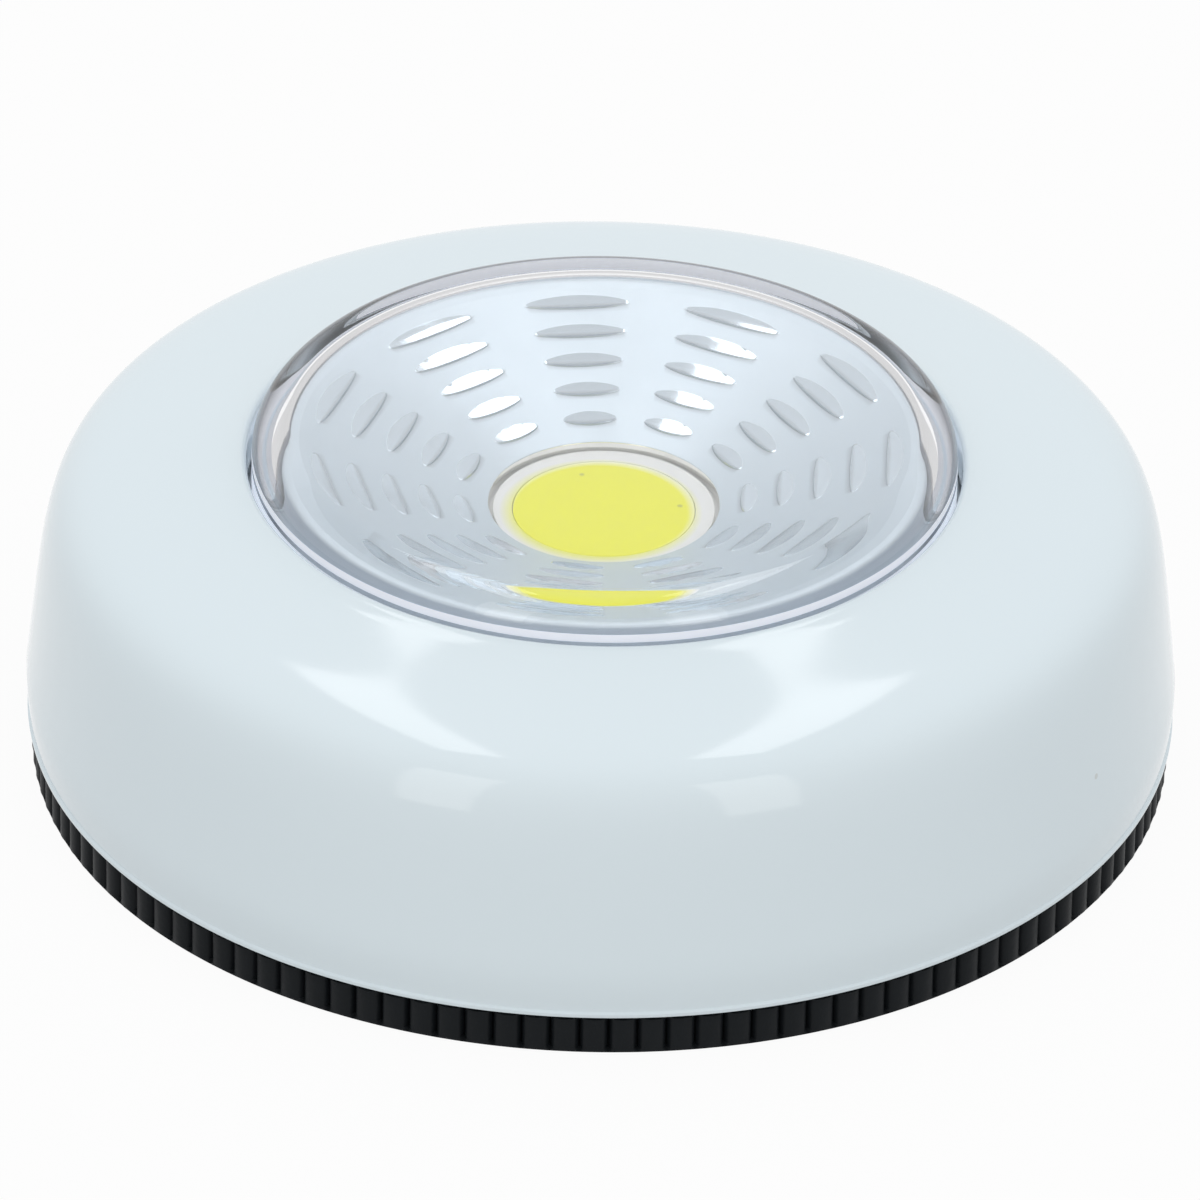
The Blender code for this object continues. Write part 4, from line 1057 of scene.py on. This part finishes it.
# Each plain finish: its name, the two colours it drifts between, gloss and its spread, size of tone and of
# grain, relief, and how metallic it is
plain_finishes = {
    "foam": ("grey_foam", (0.26, 0.27, 0.28), (0.20, 0.21, 0.22), 0.95, 0.05, 400.0, 4000.0, 0.8),
    "mask": ("board_mask", (0.84, 0.86, 0.86), (0.80, 0.82, 0.82), 0.40, 0.08, 300.0, 2500.0, 0.05),
    "tray": ("tray_plastic", (0.70, 0.71, 0.72), (0.64, 0.65, 0.66), 0.42, 0.1, 80.0, 1500.0, 0.08),
    "sleeve": ("cell_sleeve", (0.08, 0.18, 0.33), (0.10, 0.22, 0.38), 0.28, 0.08, 150.0, 1500.0, 0.03),
    "nickel": ("nickel_plate", (0.66, 0.63, 0.58), (0.58, 0.55, 0.50), 0.24, 0.15, 500.0, 3000.0, 0.08, 1.0),
    "steel": ("zinc_steel", (0.58, 0.59, 0.61), (0.48, 0.50, 0.53), 0.34, 0.2, 500.0, 3000.0, 0.10, 1.0),
    "laminate": ("board_laminate", (0.03, 0.22, 0.11), (0.04, 0.28, 0.13), 0.42, 0.1, 600.0, 3000.0, 0.15),
    "switch": ("switch_plastic", (0.03, 0.03, 0.035), (0.05, 0.05, 0.055), 0.42, 0.1, 400.0, 2500.0, 0.1),
    "lacquer": ("resistor_lacquer", (0.58, 0.44, 0.28), (0.50, 0.37, 0.22), 0.35, 0.1, 700.0, 2500.0, 0.05),
    "red": ("red_lead", (0.60, 0.03, 0.03), (0.50, 0.02, 0.02), 0.38, 0.08, 500.0, 2500.0, 0.05),
    "dark": ("black_lead", (0.02, 0.02, 0.02), (0.03, 0.03, 0.03), 0.38, 0.08, 500.0, 2500.0, 0.05),
}


def make_finishes():
    black = ((0.006, 0.0075, 0.009), (0.009, 0.011, 0.013), 0.45, 0.12, 200.0, 2500.0, 0.12)
    finishes = {
        "white": white_plastic(),
        "clear": clear_plastic(),
        "clear_wall": textured_clear_plastic(),
        "gel": phosphor_gel(),
        "black": moulded("black_plastic", *black, Specular_IOR_Level=0.10)[0],
        "mirror": bright_metal(),
        "ring": white_ring_mask(),
    }
    for key, look in plain_finishes.items():
        finishes[key] = moulded(*look)[0]
    return finishes


node_finishes = {
    "tray": ["battery_tray"],
    "steel": [f"{place}_screw_{number}" for place in ("tray", "head") for number in (1, 2, 3)]
    + ["board_screw_1", "board_screw_2"],
    "sleeve": ["battery_1", "battery_2", "battery_3"],
    "nickel": ["contact_spring_1", "contact_spring_2", "contact_spring_3", "link_plate_1", "link_plate_2"]
    + ["positive_terminal", "negative_terminal"],
    "laminate": ["switch_board"],
    "switch": ["switch_body"],
    "mask": ["switch_plunger", "led_board"],
    "lacquer": ["resistor"],
    "red": ["battery_lead_red"],
    "dark": ["battery_lead_black"],
}


def dress_kept_nodes(finishes):
    for finish_name, names in node_finishes.items():
        for name in names:
            nodes[name].data.materials.clear()
            nodes[name].data.materials.append(finishes[finish_name])


# Stage, light and camera


def seen_rays(tree):
    """The light path, and whether a ray is one that the eye sees: straight, mirrored or through the lens."""
    path = add_node(tree, "ShaderNodeLightPath").outputs
    straight = calc(tree, "MAXIMUM", path["Is Camera Ray"], path["Is Glossy Ray"])
    return path, calc(tree, "MAXIMUM", straight, path["Is Transmission Ray"])


def make_floor():
    """White paper just under the pad, which can be seen through from below."""
    half_width = 6
    drop = 0.00005
    glow_share = 0.95
    mesh = bpy.data.meshes.new("floor")
    shape = bmesh.new()
    bmesh.ops.create_grid(shape, x_segments=1, y_segments=1, size=half_width)
    shape.to_mesh(mesh)
    shape.free()
    mesh.transform(Matrix.Translation((0, 0, -drop)))
    made, tree, shader = finish("floor_paper", 0.9)
    shader.inputs["Base Color"].default_value = (0.62, 0.62, 0.62, 1)
    seen = seen_rays(tree)[1]
    glow = add_node(tree, "ShaderNodeEmission", {"Color": white, "Strength": 1.0}).outputs[0]
    share = calc(tree, "MULTIPLY", seen, glow_share)
    paper = add_node(tree, "ShaderNodeMixShader", {0: share, 1: shader.outputs[0], 2: glow}).outputs[0]
    let_through(tree, add_node(tree, "ShaderNodeNewGeometry").outputs["Backfacing"], paper)
    floor = new_object("floor", mesh, made)


def make_world():
    """White to the camera. It lights from above, and mirrors and the lens see it a little dimmed."""
    world = bpy.data.worlds.new("studio")
    bpy.context.scene.world = world
    world.use_nodes = True
    tree = world.node_tree
    back = tree.nodes["Background"]
    path, seen = seen_rays(tree)
    heading = add_node(tree, "ShaderNodeTexCoord").outputs["Generated"]
    upward = add_node(tree, "ShaderNodeSeparateXYZ", {0: heading}).outputs[2]
    lit = ramp(tree, upward, -0.2, 1.0, 0.46, 0.99)
    mirrored = ramp(tree, upward, 0.4, 0.9, 1.0, 0.81)
    dimmed = calc(tree, "MULTIPLY", mirrored, ramp(tree, upward, 0.28, 0.42, 0.68, 1.0))
    through = mixed_value(tree, path["Is Transmission Ray"], mirrored, dimmed)
    shown = mixed_value(tree, path["Is Camera Ray"], through, 1.0)
    back.inputs["Color"].default_value = white
    tree.links.new(mixed_value(tree, seen, lit, shown), back.inputs["Strength"])


def area_lamp(name, width, length, brightness, colour=(1, 1, 1)):
    lamp = bpy.data.lights.new(name, "AREA")
    lamp.shape = "RECTANGLE"
    lamp.size = width
    lamp.size_y = length
    lamp.energy = brightness * math.pi * width * length
    lamp.color = colour
    return new_object(name, lamp)


def add_front_lamp(name, place):
    """A warm upright lamp that is aimed at the object."""
    aim = Vector((0, 0, 0.01))
    made = area_lamp(name, width=0.35, length=1.1, brightness=1.3, colour=(1, 0.97, 0.92))
    made.location = place
    made.rotation_mode = "QUATERNION"
    made.rotation_quaternion = (Vector(place) - aim).to_track_quat("Z", "Y")


def add_strip(name, x, y_near, y_far, width):
    """A long lamp level above the object, from a near end to a far end."""
    height = 1.0
    made = area_lamp(name, width, y_far - y_near, brightness=2.5)
    made.location = (x, (y_near + y_far) / 2, height)


def make_lights():
    add_strip("left_strip", -0.205, 0.04, 0.86, 0.11)
    add_strip("right_strip", 0.195, 0.10, 0.87, 0.12)
    add_front_lamp("front_left", (-0.62, -1.03, 0.5))
    add_front_lamp("front_right", (0.62, -1.03, 0.5))


def make_camera():
    """The camera that took the photograph, as fitted to its outlines."""
    distance = 0.75
    aim_height = 0.013
    rise = math.radians(31.64)
    roll = math.radians(-1.09)
    right = Vector((1, 0, 0))
    up = Vector((0, math.sin(rise), math.cos(rise)))
    back = Vector((0, -math.cos(rise), math.sin(rise)))
    x_axis = right * math.cos(roll) - up * math.sin(roll)
    y_axis = right * math.sin(roll) + up * math.cos(roll)
    matrix = Matrix((x_axis, y_axis, back)).transposed().to_4x4()
    matrix.translation = back * distance + Vector((0, 0, aim_height))
    data = bpy.data.cameras.new("camera")
    data.sensor_width = 36
    data.lens = 345.7
    data.shift_x = -0.00224
    data.shift_y = -0.0261
    data.clip_start = 0.01
    data.clip_end = 30
    camera = new_object("camera", data)
    camera.matrix_world = matrix
    bpy.context.scene.camera = camera


def main():
    finishes = make_finishes()
    make_base(finishes["black"])
    make_pad(finishes["foam"])
    make_housing(finishes["white"])
    make_lens(finishes["clear"], finishes["clear_wall"])
    make_reflector(finishes["mirror"])
    make_light_source(finishes["ring"], finishes["gel"])
    make_yielding_pieces(finishes)
    dress_kept_nodes(finishes)
    make_floor()
    make_world()
    make_lights()
    make_camera()
    bpy.context.scene.view_settings.view_transform = "Standard"


main()
